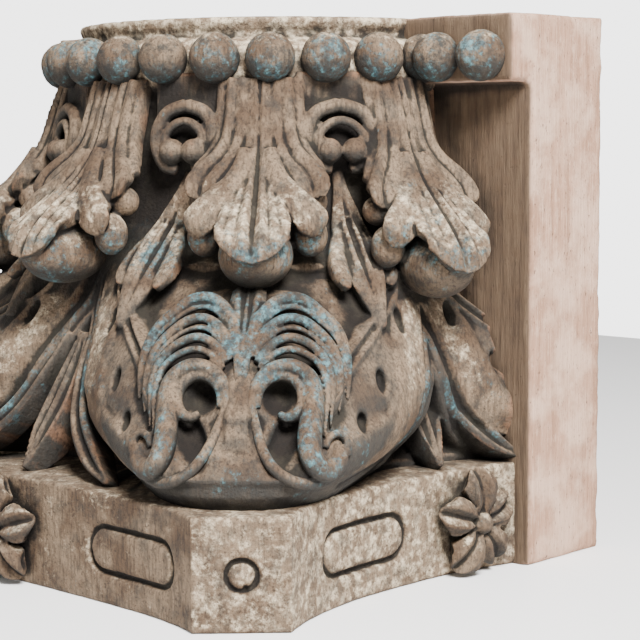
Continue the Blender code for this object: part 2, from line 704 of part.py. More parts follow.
def abacus(collection, cutters):
    """Abacus with a long grooved panel on each face and a ring on each horn."""
    made = extruded(abacus_outline(), 0, ABACUS_HEIGHT, "abacus", collection)
    side_face = side_reach(SIDE_PANEL_PLACE)
    slope = side_reach(SIDE_PANEL_PLACE + SLOPE_STEP) - side_reach(SIDE_PANEL_PLACE - SLOPE_STEP)
    horn_x, horn_y, _ = horn_middle()
    for sign in (-1, 1):
        on_front = Vector((sign * FRONT_PANEL_PLACE, -FRONT_REACH, PANEL_MIDDLE_HEIGHT))
        on_side = Vector((sign * side_face, -SIDE_PANEL_PLACE, PANEL_MIDDLE_HEIGHT))
        side_out = Vector((sign * 2 * SLOPE_STEP, slope, 0)).normalized()
        on_horn = Vector((sign * horn_x, horn_y, PANEL_MIDDLE_HEIGHT))
        horn_out = Vector((sign, -1, 0)).normalized()
        for middle, outward, length, height, label in (
                (on_front, Vector((0, -1, 0)), PANEL_LENGTH, PANEL_HEIGHT, "front"),
                (on_side, side_out, PANEL_LENGTH, PANEL_HEIGHT, "side"),
                (on_horn, horn_out, HORN_RING_RADIUS * 2, HORN_RING_RADIUS * 2, "horn")):
            frame = abacus_face_frame(middle, outward)
            cutter = groove_ring(length, height, frame, f"{label}_groove_{sign}", cutters)
            made = cut_with(made, cutter, "DIFFERENCE", collection)
    return made


def turned_rim(collection, cutters):
    """Rim of the bell: neck, bead band, hollow and flat top, turned about the ring's axis."""
    band_low = HEIGHT - RIM_BAND_HEIGHT
    profile = ((0.0, HEIGHT), (RIM_RADIUS, HEIGHT), (RIM_RADIUS + 0.002, HEIGHT - 0.007),
               (RIM_RADIUS - 0.001, HEIGHT - 0.014), (RIM_RADIUS + 0.010, HEIGHT - 0.020),
               (RIM_RADIUS + 0.012, band_low + 0.006), (RIM_RADIUS + 0.010, band_low),
               (BELL_RADIUS, band_low - 0.006), (0.0, band_low - 0.006))
    curve = bpy.data.meshes.new("rim")
    edges = [(index, index + 1) for index in range(len(profile) - 1)]
    curve.from_pydata([(x, 0, z) for x, z in profile], edges, [])
    rim = new_object("rim", curve, collection)
    add_modifier(rim, "SCREW", axis="Z", angle=math.tau, steps=RIM_STEPS, render_steps=RIM_STEPS,
                 use_merge_vertices=True, merge_threshold=0.00005, use_normal_calculate=True)
    rim = meshed(rim, collection)
    reach = RING_RADIUS * 2
    back_half = block((-reach, BOARD_DEPTH * SUNK_SHARE, 0), (reach, reach, HEIGHT * 2), "behind", cutters)
    return cut_with(rim, back_half, "DIFFERENCE", collection)


def beads(collection):
    """Ring of beads and the beads on the straight strip beside it."""
    made = []
    for index in range(BEAD_COUNT):
        angle = MIDDLE_BEAD_ANGLE + BEAD_STEP * (index - BEAD_COUNT // 2)
        turn = math.radians(angle)
        centre = (RING_RADIUS * math.sin(turn), -RING_RADIUS * math.cos(turn), RING_HEIGHT)
        bead = ball(centre, BEAD_RADIUS, f"bead_{index}", collection)
        bead.rotation_euler.z = turn + BEAD_SEAM_TURN
        made.append(bead)
    for sign in (-1, 1):
        for place in STRIP_BEAD_PLACES:
            centre = (sign * place, -STRIP_PROJECTION - BEAD_RADIUS * 0.27, RING_HEIGHT)
            bead = ball(centre, BEAD_RADIUS, f"strip_bead_{sign}_{place}", collection)
            bead.rotation_euler.z = BEAD_SEAM_TURN
            made.append(bead)
    return made


def main():
    for old in list(bpy.data.objects):
        bpy.data.objects.remove(old, do_unlink=True)
    parts = bpy.data.collections.new("corinthian_capital")
    cutters = bpy.data.collections.new("cutters")
    for holder in (parts, cutters):
        bpy.context.scene.collection.children.link(holder)

    capital = block((-BOARD_WIDTH / 2, 0, 0), (BOARD_WIDTH / 2, BOARD_DEPTH, HEIGHT), "board", parts)
    additions = [abacus(cutters, cutters), carving(cutters), turned_rim(cutters, cutters)]
    for sign in (-1, 1):
        low, high = sorted((sign * RIM_RADIUS, sign * BOARD_WIDTH / 2))
        additions.append(block((low, -STRIP_PROJECTION, HEIGHT - RIM_BAND_HEIGHT),
                               (high, BOARD_DEPTH * 0.2, HEIGHT), f"strip_{sign}", cutters))
    additions += rosettes(cutters)
    additions += beads(cutters)
    for addition in additions:
        capital = cut_with(capital, addition, "UNION", parts)
        bpy.data.objects.remove(addition)
    reach = BOARD_WIDTH
    trim = block((-reach, -reach, -HEIGHT), (reach, reach, 0), "below_floor", cutters)
    capital = cut_with(capital, trim, "DIFFERENCE", parts)
    capital.name = "capital"
    keep_largest_body(capital)

    wood = bpy.data.materials.new("worn_painted_wood")
    wood.use_nodes = True
    finish = wood.node_tree.nodes["Principled BSDF"]
    finish.inputs["Base Color"].default_value = WOOD_COLOUR
    finish.inputs["Roughness"].default_value = WOOD_ROUGHNESS
    finish.inputs["Metallic"].default_value = 0.0
    capital.data.materials.clear()
    capital.data.materials.append(wood)
    capital.data.shade_smooth()
    capital.data.set_sharp_from_angle(angle=math.radians(SMOOTH_ANGLE))


main()
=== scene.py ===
import json
import math

import bmesh
import bpy
import numpy as np
from mathutils import Matrix, Vector, noise
from mathutils.bvhtree import BVHTree

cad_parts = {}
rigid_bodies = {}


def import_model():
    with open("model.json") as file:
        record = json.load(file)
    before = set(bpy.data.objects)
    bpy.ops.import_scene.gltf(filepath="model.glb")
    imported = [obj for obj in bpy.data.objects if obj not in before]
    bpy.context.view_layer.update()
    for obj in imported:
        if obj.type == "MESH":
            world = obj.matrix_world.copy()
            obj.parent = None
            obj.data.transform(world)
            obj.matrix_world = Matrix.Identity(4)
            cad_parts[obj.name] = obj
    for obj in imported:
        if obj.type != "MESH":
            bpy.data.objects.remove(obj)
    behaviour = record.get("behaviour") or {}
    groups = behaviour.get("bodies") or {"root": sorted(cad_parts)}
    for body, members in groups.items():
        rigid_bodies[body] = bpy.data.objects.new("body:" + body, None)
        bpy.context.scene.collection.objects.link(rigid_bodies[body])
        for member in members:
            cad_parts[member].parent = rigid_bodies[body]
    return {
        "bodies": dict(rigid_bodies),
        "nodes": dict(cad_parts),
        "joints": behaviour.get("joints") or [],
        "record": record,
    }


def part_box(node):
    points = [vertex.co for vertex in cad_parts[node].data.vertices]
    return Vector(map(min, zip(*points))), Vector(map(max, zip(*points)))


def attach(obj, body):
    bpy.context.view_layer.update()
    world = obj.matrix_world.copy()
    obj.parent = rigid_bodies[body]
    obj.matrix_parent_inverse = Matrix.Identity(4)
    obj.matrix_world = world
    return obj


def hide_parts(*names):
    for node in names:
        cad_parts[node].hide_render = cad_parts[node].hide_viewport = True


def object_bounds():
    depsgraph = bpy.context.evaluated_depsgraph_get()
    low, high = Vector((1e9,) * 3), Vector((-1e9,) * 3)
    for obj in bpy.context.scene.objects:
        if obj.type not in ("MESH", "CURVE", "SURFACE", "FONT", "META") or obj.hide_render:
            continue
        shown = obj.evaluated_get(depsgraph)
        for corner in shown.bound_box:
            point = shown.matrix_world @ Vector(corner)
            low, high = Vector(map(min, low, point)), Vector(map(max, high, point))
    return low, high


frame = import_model()
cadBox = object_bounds()

# The capital stands on its abacus, front towards -Y. The axis of the bead ring is at x = 0, y = 0,
# the board's front plane is y = 0. Carving is laid out in millimetres of height and radius and in
# degrees from the front towards +X.

lowCorner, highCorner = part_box("capital")
floorLevel = lowCorner.z
topLevel = highCorner.z
boardBack = highCorner.y
mm = 0.001

overall = {
    "cornerAngle": 39.5,
    "sideMiddle": 74.6,
    "leafAngles": (0.0, 40.4, 74.6),
}


# rows read from a smooth curve through the given rows
def smoothRows(rows, count):
    points = np.array(rows, float)
    padded = np.vstack([2 * points[0] - points[1], points, 2 * points[-1] - points[-2]])
    place = np.linspace(0, len(points) - 1, count)
    index = np.minimum(place.astype(int), len(points) - 2)
    t = (place - index)[:, None]
    a, b, c, d = (padded[index + shift] for shift in range(4))
    return 0.5 * (2 * b + (c - a) * t + (2 * a - 5 * b + 4 * c - d) * t ** 2
                  + (3 * b - a - 3 * c + d) * t ** 3)


# points in metres, from degrees and millimetres
def polar(angle, radius, height):
    turn = np.radians(angle)
    return np.stack([radius * np.sin(turn), -radius * np.cos(turn), height + 0 * radius], -1) * mm


# Bell and its corner bowls

bowl = {
    "bell": ((75.5, 200), (110, 199), (150, 192), (200, 179), (250, 170), (300, 165), (356, 162)),
    "bulge": ((75.5, 131), (85, 139), (95, 139), (105, 133), (115, 124), (130, 110), (150, 98),
              (170, 84), (190, 66), (210, 45), (230, 20), (250, 0)),
    "spread": ((75.5, 17), (90, 20), (105, 24.5), (120, 28.5), (140, 32), (210, 33)),
    "outerRidge": ((36.5, 214), (35.3, 195), (34.1, 186), (31.8, 165), (30.2, 144), (27.5, 119),
                   (23.9, 103), (19.6, 94), (12, 87)),
    "innerRidge": ((29.5, 214), (27.9, 202), (22.1, 181), (17.7, 167), (14.8, 155), (12, 140)),
    "holes": ((27.4, 184, 4.0, 8), (20.2, 148, 3.8, 7), (16.0, 124, 3.5, 6)),
    "holeDepth": 11,
    "rearLoss": 0.55,
    "faceLift": 3.6,
    # ribs beside a ridge: distance outwards, height and half width
    "outerRibs": ((-1.6, 1.2, 1.6), (3.4, -2.2, 1.7), (8.5, 1.6, 2.6), (13.0, -0.9, 1.4),
                  (16.0, 1.6, 1.8)),
    "innerRibs": ((0, 3.8, 1.8), (-3.6, -2.0, 1.5), (-7, 4.0, 1.8)),
    "outerDrop": 17,
    "innerDrop": 12,
    # eye of each scroll and the hollow under it: place, height, half sizes, lean and depth
    "scrollHollows": ((25.5, 142.5, 9, 10, 0, 13), (30, 116, 9, 16, -0.45, 15)),
    "eye": (25.5, 142.5, 11, 12),
    "stem": {"halfWidth": 9, "wider": 5, "lift": 7.5, "fibre": 1.5, "fibreWidth": 5.5},
    "padEdge": ((128, 60), (140, 68), (160, 68), (175, 65), (187, 57), (196, 45), (205, 32), (212, 8)),
    "padLift": 6.0,
    "padMiddleLift": 5.0,
    "panelEdge": ((92, 50), (95, 37), (103, 25), (113, 17.5), (124, 13), (138, 8)),
    "panelLift": 6.5,
    "spandrel": {"lift": 8, "inArch": 2.5, "half": 31, "archMiddle": 313},
}


def table(pairs, height):
    return np.interp(height, [pair[0] for pair in pairs], [pair[1] for pair in pairs])


def step(low, high, value):
    t = np.clip((value - low) / (high - low), 0, 1)
    return t * t * (3 - 2 * t)


# degrees from the middle of the nearer bowl; the one behind is cut by the board
def fromBowl(angle):
    corner = overall["cornerAngle"]
    behind = 2 * overall["sideMiddle"] - corner
    return np.minimum(np.abs(np.abs(angle) - corner), np.abs(behind - np.abs(angle)))


# radius of the bell with its bowls, before its surface carving
def plainBowl(angle, height):
    aside = fromBowl(angle) / table(bowl["spread"], height)
    flatter = bowl["rearLoss"] * step(overall["sideMiddle"] - 3, overall["sideMiddle"] + 7, np.abs(angle))
    bulge = table(bowl["bulge"], height) * np.exp(-aside ** 2.6)
    return table(bowl["bell"], height) + bulge * (1 - flatter)


# distance in mm to a path of (degrees, height), and which side of it (positive is outside)
def nearPath(path, aside, height, radius):
    rows = smoothRows(path, 60)
    best = np.full(aside.shape, 1e9)
    scale = radius * math.pi / 180
    for degrees, level in rows:
        best = np.minimum(best, ((aside - degrees) * scale) ** 2 + (height - level) ** 2)
    order = np.argsort(rows[:, 1])
    edge = np.interp(height, rows[order, 1], rows[order, 0])
    return np.sqrt(best), np.sign(aside - edge)


# relief of the straps: raised face, ribs beside both ridges, the ground's drop and teardrop holes
def strapRelief(aside, height, radius):
    outer, outerSide = nearPath(bowl["outerRidge"], aside, height, radius)
    inner, innerSide = nearPath(bowl["innerRidge"], aside, height, radius)
    outer = outer * outerSide
    inner = inner * innerSide
    low = 1 - step(216, 226, height)
    face = low * step(-34, -26, outer) * step(84, 96, height)
    lift = face * bowl["faceLift"] * (1 - step(-0.6, 1.8, outer))
    for place, tall, wide in bowl["outerRibs"]:
        lift += low * tall * bump(outer, place, wide)
    for place, tall, wide in bowl["innerRibs"]:
        lift += low * tall * bump(inner, place, wide) * step(130, 146, height)
    lift -= low * bowl["outerDrop"] * step(17.5, 23, outer) * step(78, 92, height)
    aroundLeaf = step(150, 170, height) * (1 - step(214, 230, height))
    lift -= low * bowl["innerDrop"] * step(9, 13, -inner) * aroundLeaf
    for degrees, level, wide, tall in bowl["holes"]:
        across = (aside - degrees) * radius * math.pi / 180
        away = (across / wide) ** 2 + ((height - level) / tall) ** 2
        lift -= bowl["holeDepth"] * np.exp(-away ** 2)
    return lift


# ground under the scrolls: hollows, stem between the eyes, pad and the panel between lower edges
def scrollGround(place, height):
    lift = np.zeros_like(place)
    for middle, level, wide, tall, lean, deep in bowl["scrollHollows"]:
        across, rise = place - middle, height - level
        along = across * math.cos(lean) + rise * math.sin(lean)
        up = -across * math.sin(lean) + rise * math.cos(lean)
        lift -= deep * np.exp(-((along / wide) ** 2 + (up / tall) ** 2) ** 2)
    stem = bowl["stem"]
    halfWidth = stem["halfWidth"] + stem["wider"] * step(145, 165, height)
    share = np.exp(-(place / halfWidth) ** 4) * step(112, 124, height) * (1 - step(180, 190, height))
    lift += share * (stem["lift"] + stem["fibre"] * np.cos(place * 2 * math.pi / stem["fibreWidth"]))
    padEdge = table(bowl["padEdge"], height)
    middleLift = bowl["padMiddleLift"] * step(150, 172, height) * (1 - step(26, 48, place))
    pad = (bowl["padLift"] + middleLift) * (1 - step(-3, 2, place - padEdge))
    pad = pad * step(126, 138, height) * (1 - step(205, 214, height))
    middle, level, wide, tall = bowl["eye"]
    lift += pad * (1 - np.exp(-(((place - middle) / wide) ** 2 + ((height - level) / tall) ** 2) ** 2))
    panelEdge = table(bowl["panelEdge"], height)
    panel = (1 - step(-1, 2, place - panelEdge)) * step(90, 97, height) * (1 - step(132, 140, height))
    return lift + bowl["panelLift"] * panel * np.exp(-np.maximum(panelEdge - place, 0) / 40)


# raised ground beside the arches, between the leaves
def spandrels(angle, height, radius):
    lift = np.zeros_like(radius)
    look = bowl["spandrel"]
    for archAngle, widen, _ in archAndLeaf["places"]:
        across = (np.abs(angle) - archAngle) * math.pi / 180 * radius / widen
        inArch = 1 - step(15, 20, np.hypot(across, np.maximum(height - look["archMiddle"], 0)))
        near = step(283, 300, height) * (1 - step(look["half"] - 3, look["half"], np.abs(across)))
        lift += near * (look["lift"] - look["inArch"] * inArch)
    return lift


# radius of the bell with all the carving of its ground
def carvedBowl(angle, height):
    radius = plainBowl(angle, height)
    aside = fromBowl(angle)
    place = aside * math.pi / 180 * radius
    relief = strapRelief(aside, height, radius) + scrollGround(place, height)
    return radius + relief + spandrels(angle, height, radius)


def bump(across, place, wide):
    return np.exp(-((across - place) / wide) ** 2)


def leafFrame(angle):
    def toPoint(across, radius, height):
        return polar(angle + np.degrees(across / radius), radius, height)
    return toPoint


# places over the corner bowl: across in mm, lift off the bowl in mm, height in mm
def cornerFrame(across, lift, height):
    angle = overall["cornerAngle"] + np.degrees(across / (396.5 - 0.75 * height))
    return polar(angle, plainBowl(angle, height) + lift, height)


# Forms

shells = {"points": [], "faces": [], "count": 0}


def addShell(points, faces):
    shells["points"].append(points)
    shells["faces"].extend([tuple(index + shells["count"] for index in face) for face in faces])
    shells["count"] += len(points)


# mesh object of all the shells so far, with their mirror images if asked
def takeShells(name, mirror=False):
    points = np.vstack(shells["points"])
    faces = list(shells["faces"])
    if mirror:
        count = len(points)
        points = np.vstack([points, points * (-1, 1, 1)])
        faces += [tuple(index + count for index in reversed(face)) for face in faces]
    shells.update(points=[], faces=[], count=0)
    mesh = bpy.data.meshes.new(name)
    mesh.from_pydata(points.tolist(), [], faces)
    made = bpy.data.objects.new(name, mesh)
    bpy.context.scene.collection.objects.link(made)
    return made


def ringFaces(ringCount, ringSize):
    faces = []
    for ring in range(ringCount - 1):
        low, high = ring * ringSize, (ring + 1) * ringSize
        for index in range(ringSize):
            after = (index + 1) % ringSize
            faces.append((low + index, high + index, high + after, low + after))
    faces.append(tuple(range(ringSize)))
    last = (ringCount - 1) * ringSize
    faces.append(tuple(last + index for index in reversed(range(ringSize))))
    return faces


# side and front directions carried along a row of points without twist
def sweepFrames(centres):
    tangents = np.gradient(centres, axis=0)
    tangents /= np.linalg.norm(tangents, axis=1)[:, None]
    outward = centres[0] * (1, 1, 0)
    side = np.cross(tangents[0], outward)
    sides = []
    for tangent in tangents:
        side = side - tangent * side.dot(tangent)
        side = side / np.linalg.norm(side)
        sides.append(side)
    sides = np.array(sides)
    return sides, np.cross(sides, tangents), tangents


# how far a blade's end falls back from its middle, as a share of its half width
def roundTip(across, along):
    return 0.9 * (1 - np.sqrt(np.maximum(1 - across ** 2, 0))) * step(0.55, 1.0, along)


# a broad lip, lowest in the middle
def smileTip(across, along):
    return 0.75 * np.abs(across) ** 2.2 * step(0.5, 1.0, along)


# leaf blade along rows of (across, radius or lift, height, half width, thickness) in mm
def blade(rows, frame, section, steps=44, columns=31, back=0.85, tip=roundTip):
    stations = smoothRows(rows, steps)
    centres = frame(stations[:, 0], stations[:, 1], stations[:, 2])
    sides, fronts, tangents = sweepFrames(centres)
    halfWidth = np.maximum(stations[:, 3], 0.5)[:, None, None] * mm
    thickness = np.maximum(stations[:, 4], 1.0)[:, None, None] * mm
    across = np.linspace(-1, 1, columns)[None, :, None]
    along = np.linspace(0, 1, steps)[:, None, None]
    height = section(across, along) * halfWidth
    behind = tangents[:, None] * tip(across, along) * halfWidth
    front = centres[:, None] + sides[:, None] * halfWidth * across + fronts[:, None] * height - behind
    rear = centres[:, None] + sides[:, None] * halfWidth * back * across[:, ::-1]
    rear = rear - fronts[:, None] * thickness - behind[:, ::-1]
    points = np.concatenate([front, rear], 1).reshape(-1, 3)
    addShell(points, [tuple(reversed(face)) for face in ringFaces(steps, columns * 2)])


# round scroll along rows of (across, radius or lift, height, radius of the roll) in mm
def roll(rows, frame, steps=60, sides=16, flat=1.0):
    stations = smoothRows(rows, steps)
    centres = frame(stations[:, 0], stations[:, 1], stations[:, 2])
    sideways, fronts, _ = sweepFrames(centres)
    radius = np.maximum(stations[:, 3], 0.4)[:, None, None] * mm
    turn = np.linspace(0, 2 * math.pi, sides, endpoint=False)[None, :, None]
    around = sideways[:, None] * np.cos(turn) + fronts[:, None] * np.sin(turn) * flat
    addShell((centres[:, None] + around * radius).reshape(-1, 3), ringFaces(steps, sides))


# ball or bud, with its radii in mm along three axes
def ball(centre, radii, axes=None, rings=14, sides=22):
    axes = np.eye(3) if axes is None else np.array(axes)
    lean = np.linspace(0.02, math.pi - 0.02, rings)[:, None]
    turn = np.linspace(0, 2 * math.pi, sides, endpoint=False)[None, :]
    flat = np.sin(lean)
    local = np.stack([flat * np.cos(turn), flat * np.sin(turn), np.cos(lean) + 0 * turn], -1)
    points = np.array(centre) + (local * np.array(radii) * mm) @ axes
    addShell(points.reshape(-1, 3), [tuple(reversed(face)) for face in ringFaces(rings, sides)])


# leaf trunk and tongue: deep middle groove between two slim ridges, then veins that fan out
def trunkSection(across, along):
    groove = -0.36 * bump(across, 0, 0.12) * (1 - 0.74 * along)
    ridges = 0.12 * (bump(across, 0.24, 0.08) + bump(across, -0.24, 0.08)) * (1 - 0.4 * along)
    aside = np.abs(across)
    veins = sum(-0.17 * bump(aside, place, 0.07 - 0.035 * along) for place in (0.44, 0.72))
    veins = veins * (1 - 0.5 * along)
    crown = 0.20 * (1 - across ** 2) * (1 - 0.4 * along)
    rim = -0.10 * step(0.86, 1.0, np.abs(across))
    return groove + ridges + veins + crown + rim


# side lobe: rounded, with raised edges and a groove along it
def lobeSection(across, along):
    edges = 0.18 * (bump(across, 0.72, 0.18) + bump(across, -0.72, 0.18))
    groove = -0.32 * bump(across, 0.05, 0.17) * (1 - step(0.8, 1.0, along))
    return 0.22 * (1 - across ** 2) + edges + groove


# lower lobe: a plump spoon with one fine vein
def spoonSection(across, along):
    return 0.42 * (1 - across ** 2) - 0.14 * bump(across, -0.1, 0.09)


def plainSection(across, along):
    return 0.5 * (1 - across ** 2)


# pointed leaf: slim midrib between two hollows
def ribbedSection(across, along):
    aside = np.abs(across)
    hollows = 0.20 * bump(aside, 0.85, 0.18) - 0.12 * bump(aside, 0.45, 0.2)
    return 0.12 + 0.30 * bump(across, 0, 0.13) + hollows


# slanting blade: two rounded edges beside a groove
def channelSection(across, along):
    return 0.34 * bump(np.abs(across), 0.58, 0.3) - 0.30 * bump(across, 0, 0.17)


def mirrored(rows):
    return tuple((-row[0],) + tuple(row[1:]) for row in rows)


# Big leaves: rows of (across, radius, height, half width, thickness)

bigLeaf = {
    "spine": ((0, 172, 356, 11, 14), (0, 181, 335, 10, 16), (0, 188, 315, 10, 18), (0, 196, 300, 11, 20),
              (0, 208, 285, 15, 20), (0, 224, 271, 20, 17), (0, 241, 257, 24.5, 13), (0, 254, 244, 27, 9),
              (0, 261.5, 228.5, 26.5, 5)),
    "upper": ((16.5, 173, 356, 7, 14), (17, 182, 330, 8, 14), (19, 188, 312, 8.5, 14),
              (25, 196, 300, 9.5, 13), (33, 204, 291, 11, 12), (38.5, 210, 283, 12, 10),
              (40, 213, 275, 12.5, 7), (40, 212, 269, 11, 5)),
    "outer": ((27, 170, 356, 4, 10), (27.5, 177, 332, 4.5, 10), (28.5, 183, 313, 5, 10),
              (34, 190, 301, 5.5, 9), (42, 197, 293, 5, 7), (46, 199, 287, 4, 6)),
    "lower": ((8, 196, 306, 5, 16), (11, 204, 293, 7, 16), (16, 213, 281, 9.5, 16),
              (26, 222, 270, 11.5, 14), (35, 227, 261, 12.5, 11), (39.5, 228, 253, 13, 8),
              (40, 224, 246, 12, 5)),
    "upperCup": (37, 200, 268, 11, 12, 11),
    "lowerCup": (37, 212, 245, 12, 12.5, 15),
    "underBall": (222, 232, 35, 26, 23),
    "hangsFrom": 354,
    "hangLength": 123,
}


# how much lower a place on a leaf lies when the tip hangs lower by drop
def fallOf(height, drop):
    return drop * (bigLeaf["hangsFrom"] - height) / bigLeaf["hangLength"]


def hung(rows, drop, widen=1.0):
    return tuple((row[0] * widen, row[1], row[2] - fallOf(row[2], drop)) + tuple(row[3:]) for row in rows)


def makeBigLeaf(angle, drop=0.0, widen=1.0):
    frame = leafFrame(angle)
    blade(hung(bigLeaf["spine"], drop, widen), frame, trunkSection, 60, 61, tip=smileTip)
    turn = math.radians(angle)
    axes = ((math.sin(turn), -math.cos(turn), 0), (math.cos(turn), math.sin(turn), 0), (0, 0, 1))
    for side in (tuple, mirrored):
        for name, section in (("upper", lobeSection), ("lower", spoonSection)):
            blade(side(hung(bigLeaf[name], drop, widen)), frame, section, tip=smileTip)
        blade(side(hung(bigLeaf["outer"], drop, widen)), frame, plainSection, columns=15)
        for name in ("upperCup", "lowerCup"):
            across, radius, height, deep, wide, tall = bigLeaf[name]
            across = across * widen * (1 if side is tuple else -1)
            level = height - fallOf(height, drop)
            spot = frame(np.array(float(across)), np.array(float(radius)), np.array(level))
            ball(spot, (deep, wide, tall), axes, 18, 28)
    radius, height, deep, wide, tall = bigLeaf["underBall"]
    centre = polar(np.array(float(angle)), np.array(float(radius)), np.array(float(height - drop)))
    ball(centre, (deep, wide * widen, tall), axes, 24, 36)


# Arch of two tendrils over a pair of balls, with the small leaf that hangs below and leans outward

archAndLeaf = {
    "places": ((22.4, 0.9, -0.26), (59.0, 1.0, 0.12)),
    "band": ((7, 178, 290, 4), (17, 179, 294, 5.6), (23.5, 179, 306, 5.8), (24, 177, 319, 5.6),
             (16, 175, 331, 5.4), (0, 174, 336.5, 5.2)),
    "innerBand": ((14, 180, 296, 2.4), (18, 181, 305, 3.2), (15.5, 180, 316, 3.4), (8, 179, 323, 3.4),
                  (0, 178, 325.5, 3.2)),
    "ball": (9.4, 182, 303.5, 9.2),
    "midrib": ((0, 3, 288, 4, 10), (0, 6, 274, 6, 12), (0, 9, 258, 10.5, 12), (0, 11, 243, 14.5, 12),
               (0, 11, 228, 15, 12), (0, 10, 212, 13, 12), (0, 8, 197, 9, 10), (0, 5, 182, 4, 8)),
    "lobe": ((6, 8, 246, 5, 8), (13, 10, 234, 7, 8), (17, 11, 222, 7.5, 8), (18, 11, 213, 6.5, 6),
             (18, 9, 208, 4.5, 5)),
    "leanBelow": 288,
}


def onBowl(angle, lean=0.0):
    def toPoint(across, lift, height):
        shifted = across + lean * np.maximum(archAndLeaf["leanBelow"] - height, 0)
        turned = angle + np.degrees(shifted / plainBowl(np.asarray(float(angle)), np.asarray(height)))
        return polar(turned, plainBowl(turned, height) + lift, height)
    return toPoint


def makeArchAndLeaf(angle, widen, lean):
    frame = leafFrame(angle)
    leafOn = onBowl(angle, lean if angle > 0 else -lean)

    def wider(rows, side):
        return tuple((row[0] * widen,) + tuple(row[1:]) for row in side(rows))
    for side in (tuple, mirrored):
        roll(wider(archAndLeaf["band"], side), frame, 40)
        roll(wider(archAndLeaf["innerBand"], side), frame, 30, 10)
        blade(side(archAndLeaf["lobe"]), leafOn, spoonSection, 24, 17)
        across, radius, height, size = archAndLeaf["ball"]
        across = across * widen * (1 if side is tuple else -1)
        ball(frame(np.array(across), float(radius), float(height)), (size, size, size))
    blade(archAndLeaf["midrib"], leafOn, trunkSection, 44, 41)


# Corner scrolls: rows of (across, lift, height, ...)

cornerScroll = {
    "crest": ((4, 12, 178), (10, 16, 193), (22, 18, 203), (36, 17, 203), (50, 14, 194), (63, 11, 182),
              (70, 8, 164), (71.5, 1, 140)),
    "stalk": ((12, 9, 160), (20, 12, 167.5), (29, 13, 170.5), (38, 13, 168.5), (47, 12.5, 163),
              (52.5, 12, 154), (55, 10, 141), (54.5, 5, 118)),
    "bands": ((0.0, 5.0), (0.16, 2.0), (0.36, 3.9), (0.53, 1.9), (0.71, 3.6), (0.92, 2.8)),
    "main": ((66, 2, 113, 5), (66, 4, 104.5, 6.5), (59, 5, 100, 8), (51, 5.5, 103, 9), (46.5, 6, 111, 9.5),
             (45.5, 6.5, 121, 9.5), (46.5, 7.5, 133, 9), (46.5, 9, 146, 8), (42.5, 10.5, 156.5, 7.2),
             (32, 12, 163, 6.6), (21, 12, 162, 6), (12, 10, 155, 5.2), (7.5, 8, 144, 4.6), (7, 6, 134, 4)),
    "eyeRing": ((11, 6, 138, 3), (12.5, 8, 149, 3.6), (19.5, 10, 156, 3.8), (29, 10, 157, 3.8),
                (37.5, 9.5, 151, 4), (40, 8, 141.5, 4), (37, 6, 134, 4.2), (30.5, 4, 131.5, 3.6),
                (25.5, 3, 134, 2.6)),
    "edge": ((8, 7, 138, 3.2), (12, 7, 126, 3.4), (17.5, 6.5, 113, 3.6), (25.5, 5.5, 102.5, 3.8),
             (37, 4, 95, 4), (51, 2.5, 91.5, 4), (64, 1, 94, 3.6), (74, -1, 102, 2.6)),
    "curl": ((56, 4, 113, 2.4), (58.5, 6, 119, 2.6), (64.5, 6, 121, 2.8), (70.5, 5, 116, 3.2),
             (71.5, 3, 107, 4)),
    "palmette": ((0, 8, 209, 12, 10), (0, 14, 199, 12.5, 11), (0, 15, 186, 9, 11), (0, 13, 170, 6, 10),
                 (0, 10, 152, 4.5, 8), (0, 7, 134, 2.5, 6)),
    "palmetteSide": ((4, 12, 170, 3.5, 9), (8, 14, 184, 5, 9), (14, 15, 195, 5.5, 9), (20, 11, 203, 3, 6)),
}


# palmette: two broad flutes beside a fine midrib
def fanSection(across, along):
    return 0.30 * bump(np.abs(across), 0.55, 0.28) + 0.22 * bump(across, 0, 0.09) - 0.05


def makeCornerScrolls():
    for turn in (tuple, mirrored):
        crest, stalk = np.array(cornerScroll["crest"]), np.array(cornerScroll["stalk"])
        # nested rolls between crest and stalk, thinner towards both ends
        for share, size in cornerScroll["bands"]:
            path = crest * (1 - share) + stalk * share
            taper = size * np.sin(np.linspace(0.25, 0.955, len(path)) * math.pi) ** 0.7
            roll(turn(tuple(map(tuple, np.column_stack([path, taper])))), cornerFrame, 70, 14)
        for name, steps, sides, flat in (("main", 110, 20, 0.8), ("eyeRing", 60, 12, 1.0),
                                         ("edge", 70, 12, 1.0), ("curl", 30, 12, 1.0)):
            roll(turn(cornerScroll[name]), cornerFrame, steps, sides, flat)
        blade(turn(cornerScroll["palmetteSide"]), cornerFrame, plainSection, 24, 15)
    blade(cornerScroll["palmette"], cornerFrame, fanSection, 40, 31)


# Pointed blades that fill the space between the bowls

betweenBowls = {
    "middle": ((0, 205, 172, 4, 14), (0, 216, 148, 9, 18), (0, 231, 122, 11.5, 22), (0, 248, 99, 9.5, 24),
               (0, 264, 79, 2.5, 14)),
    "slanting": ((14, 210, 172, 3, 12), (22, 226, 148, 6, 16), (38, 246, 116, 8, 20), (66, 264, 93, 8, 20),
                 (94, 279, 79, 2.5, 12)),
    "sideReach": 0.87,
}


def makeBetweenBowls(angle, reach):
    frame = leafFrame(angle)
    middle, slanting = (tuple((row[0] * reach ** 2, row[1] * reach) + row[2:] for row in betweenBowls[name])
                        for name in ("middle", "slanting"))
    blade(middle, frame, ribbedSection, 40, 31)
    for side in (tuple, mirrored):
        blade(side(slanting), frame, channelSection, 44, 27)


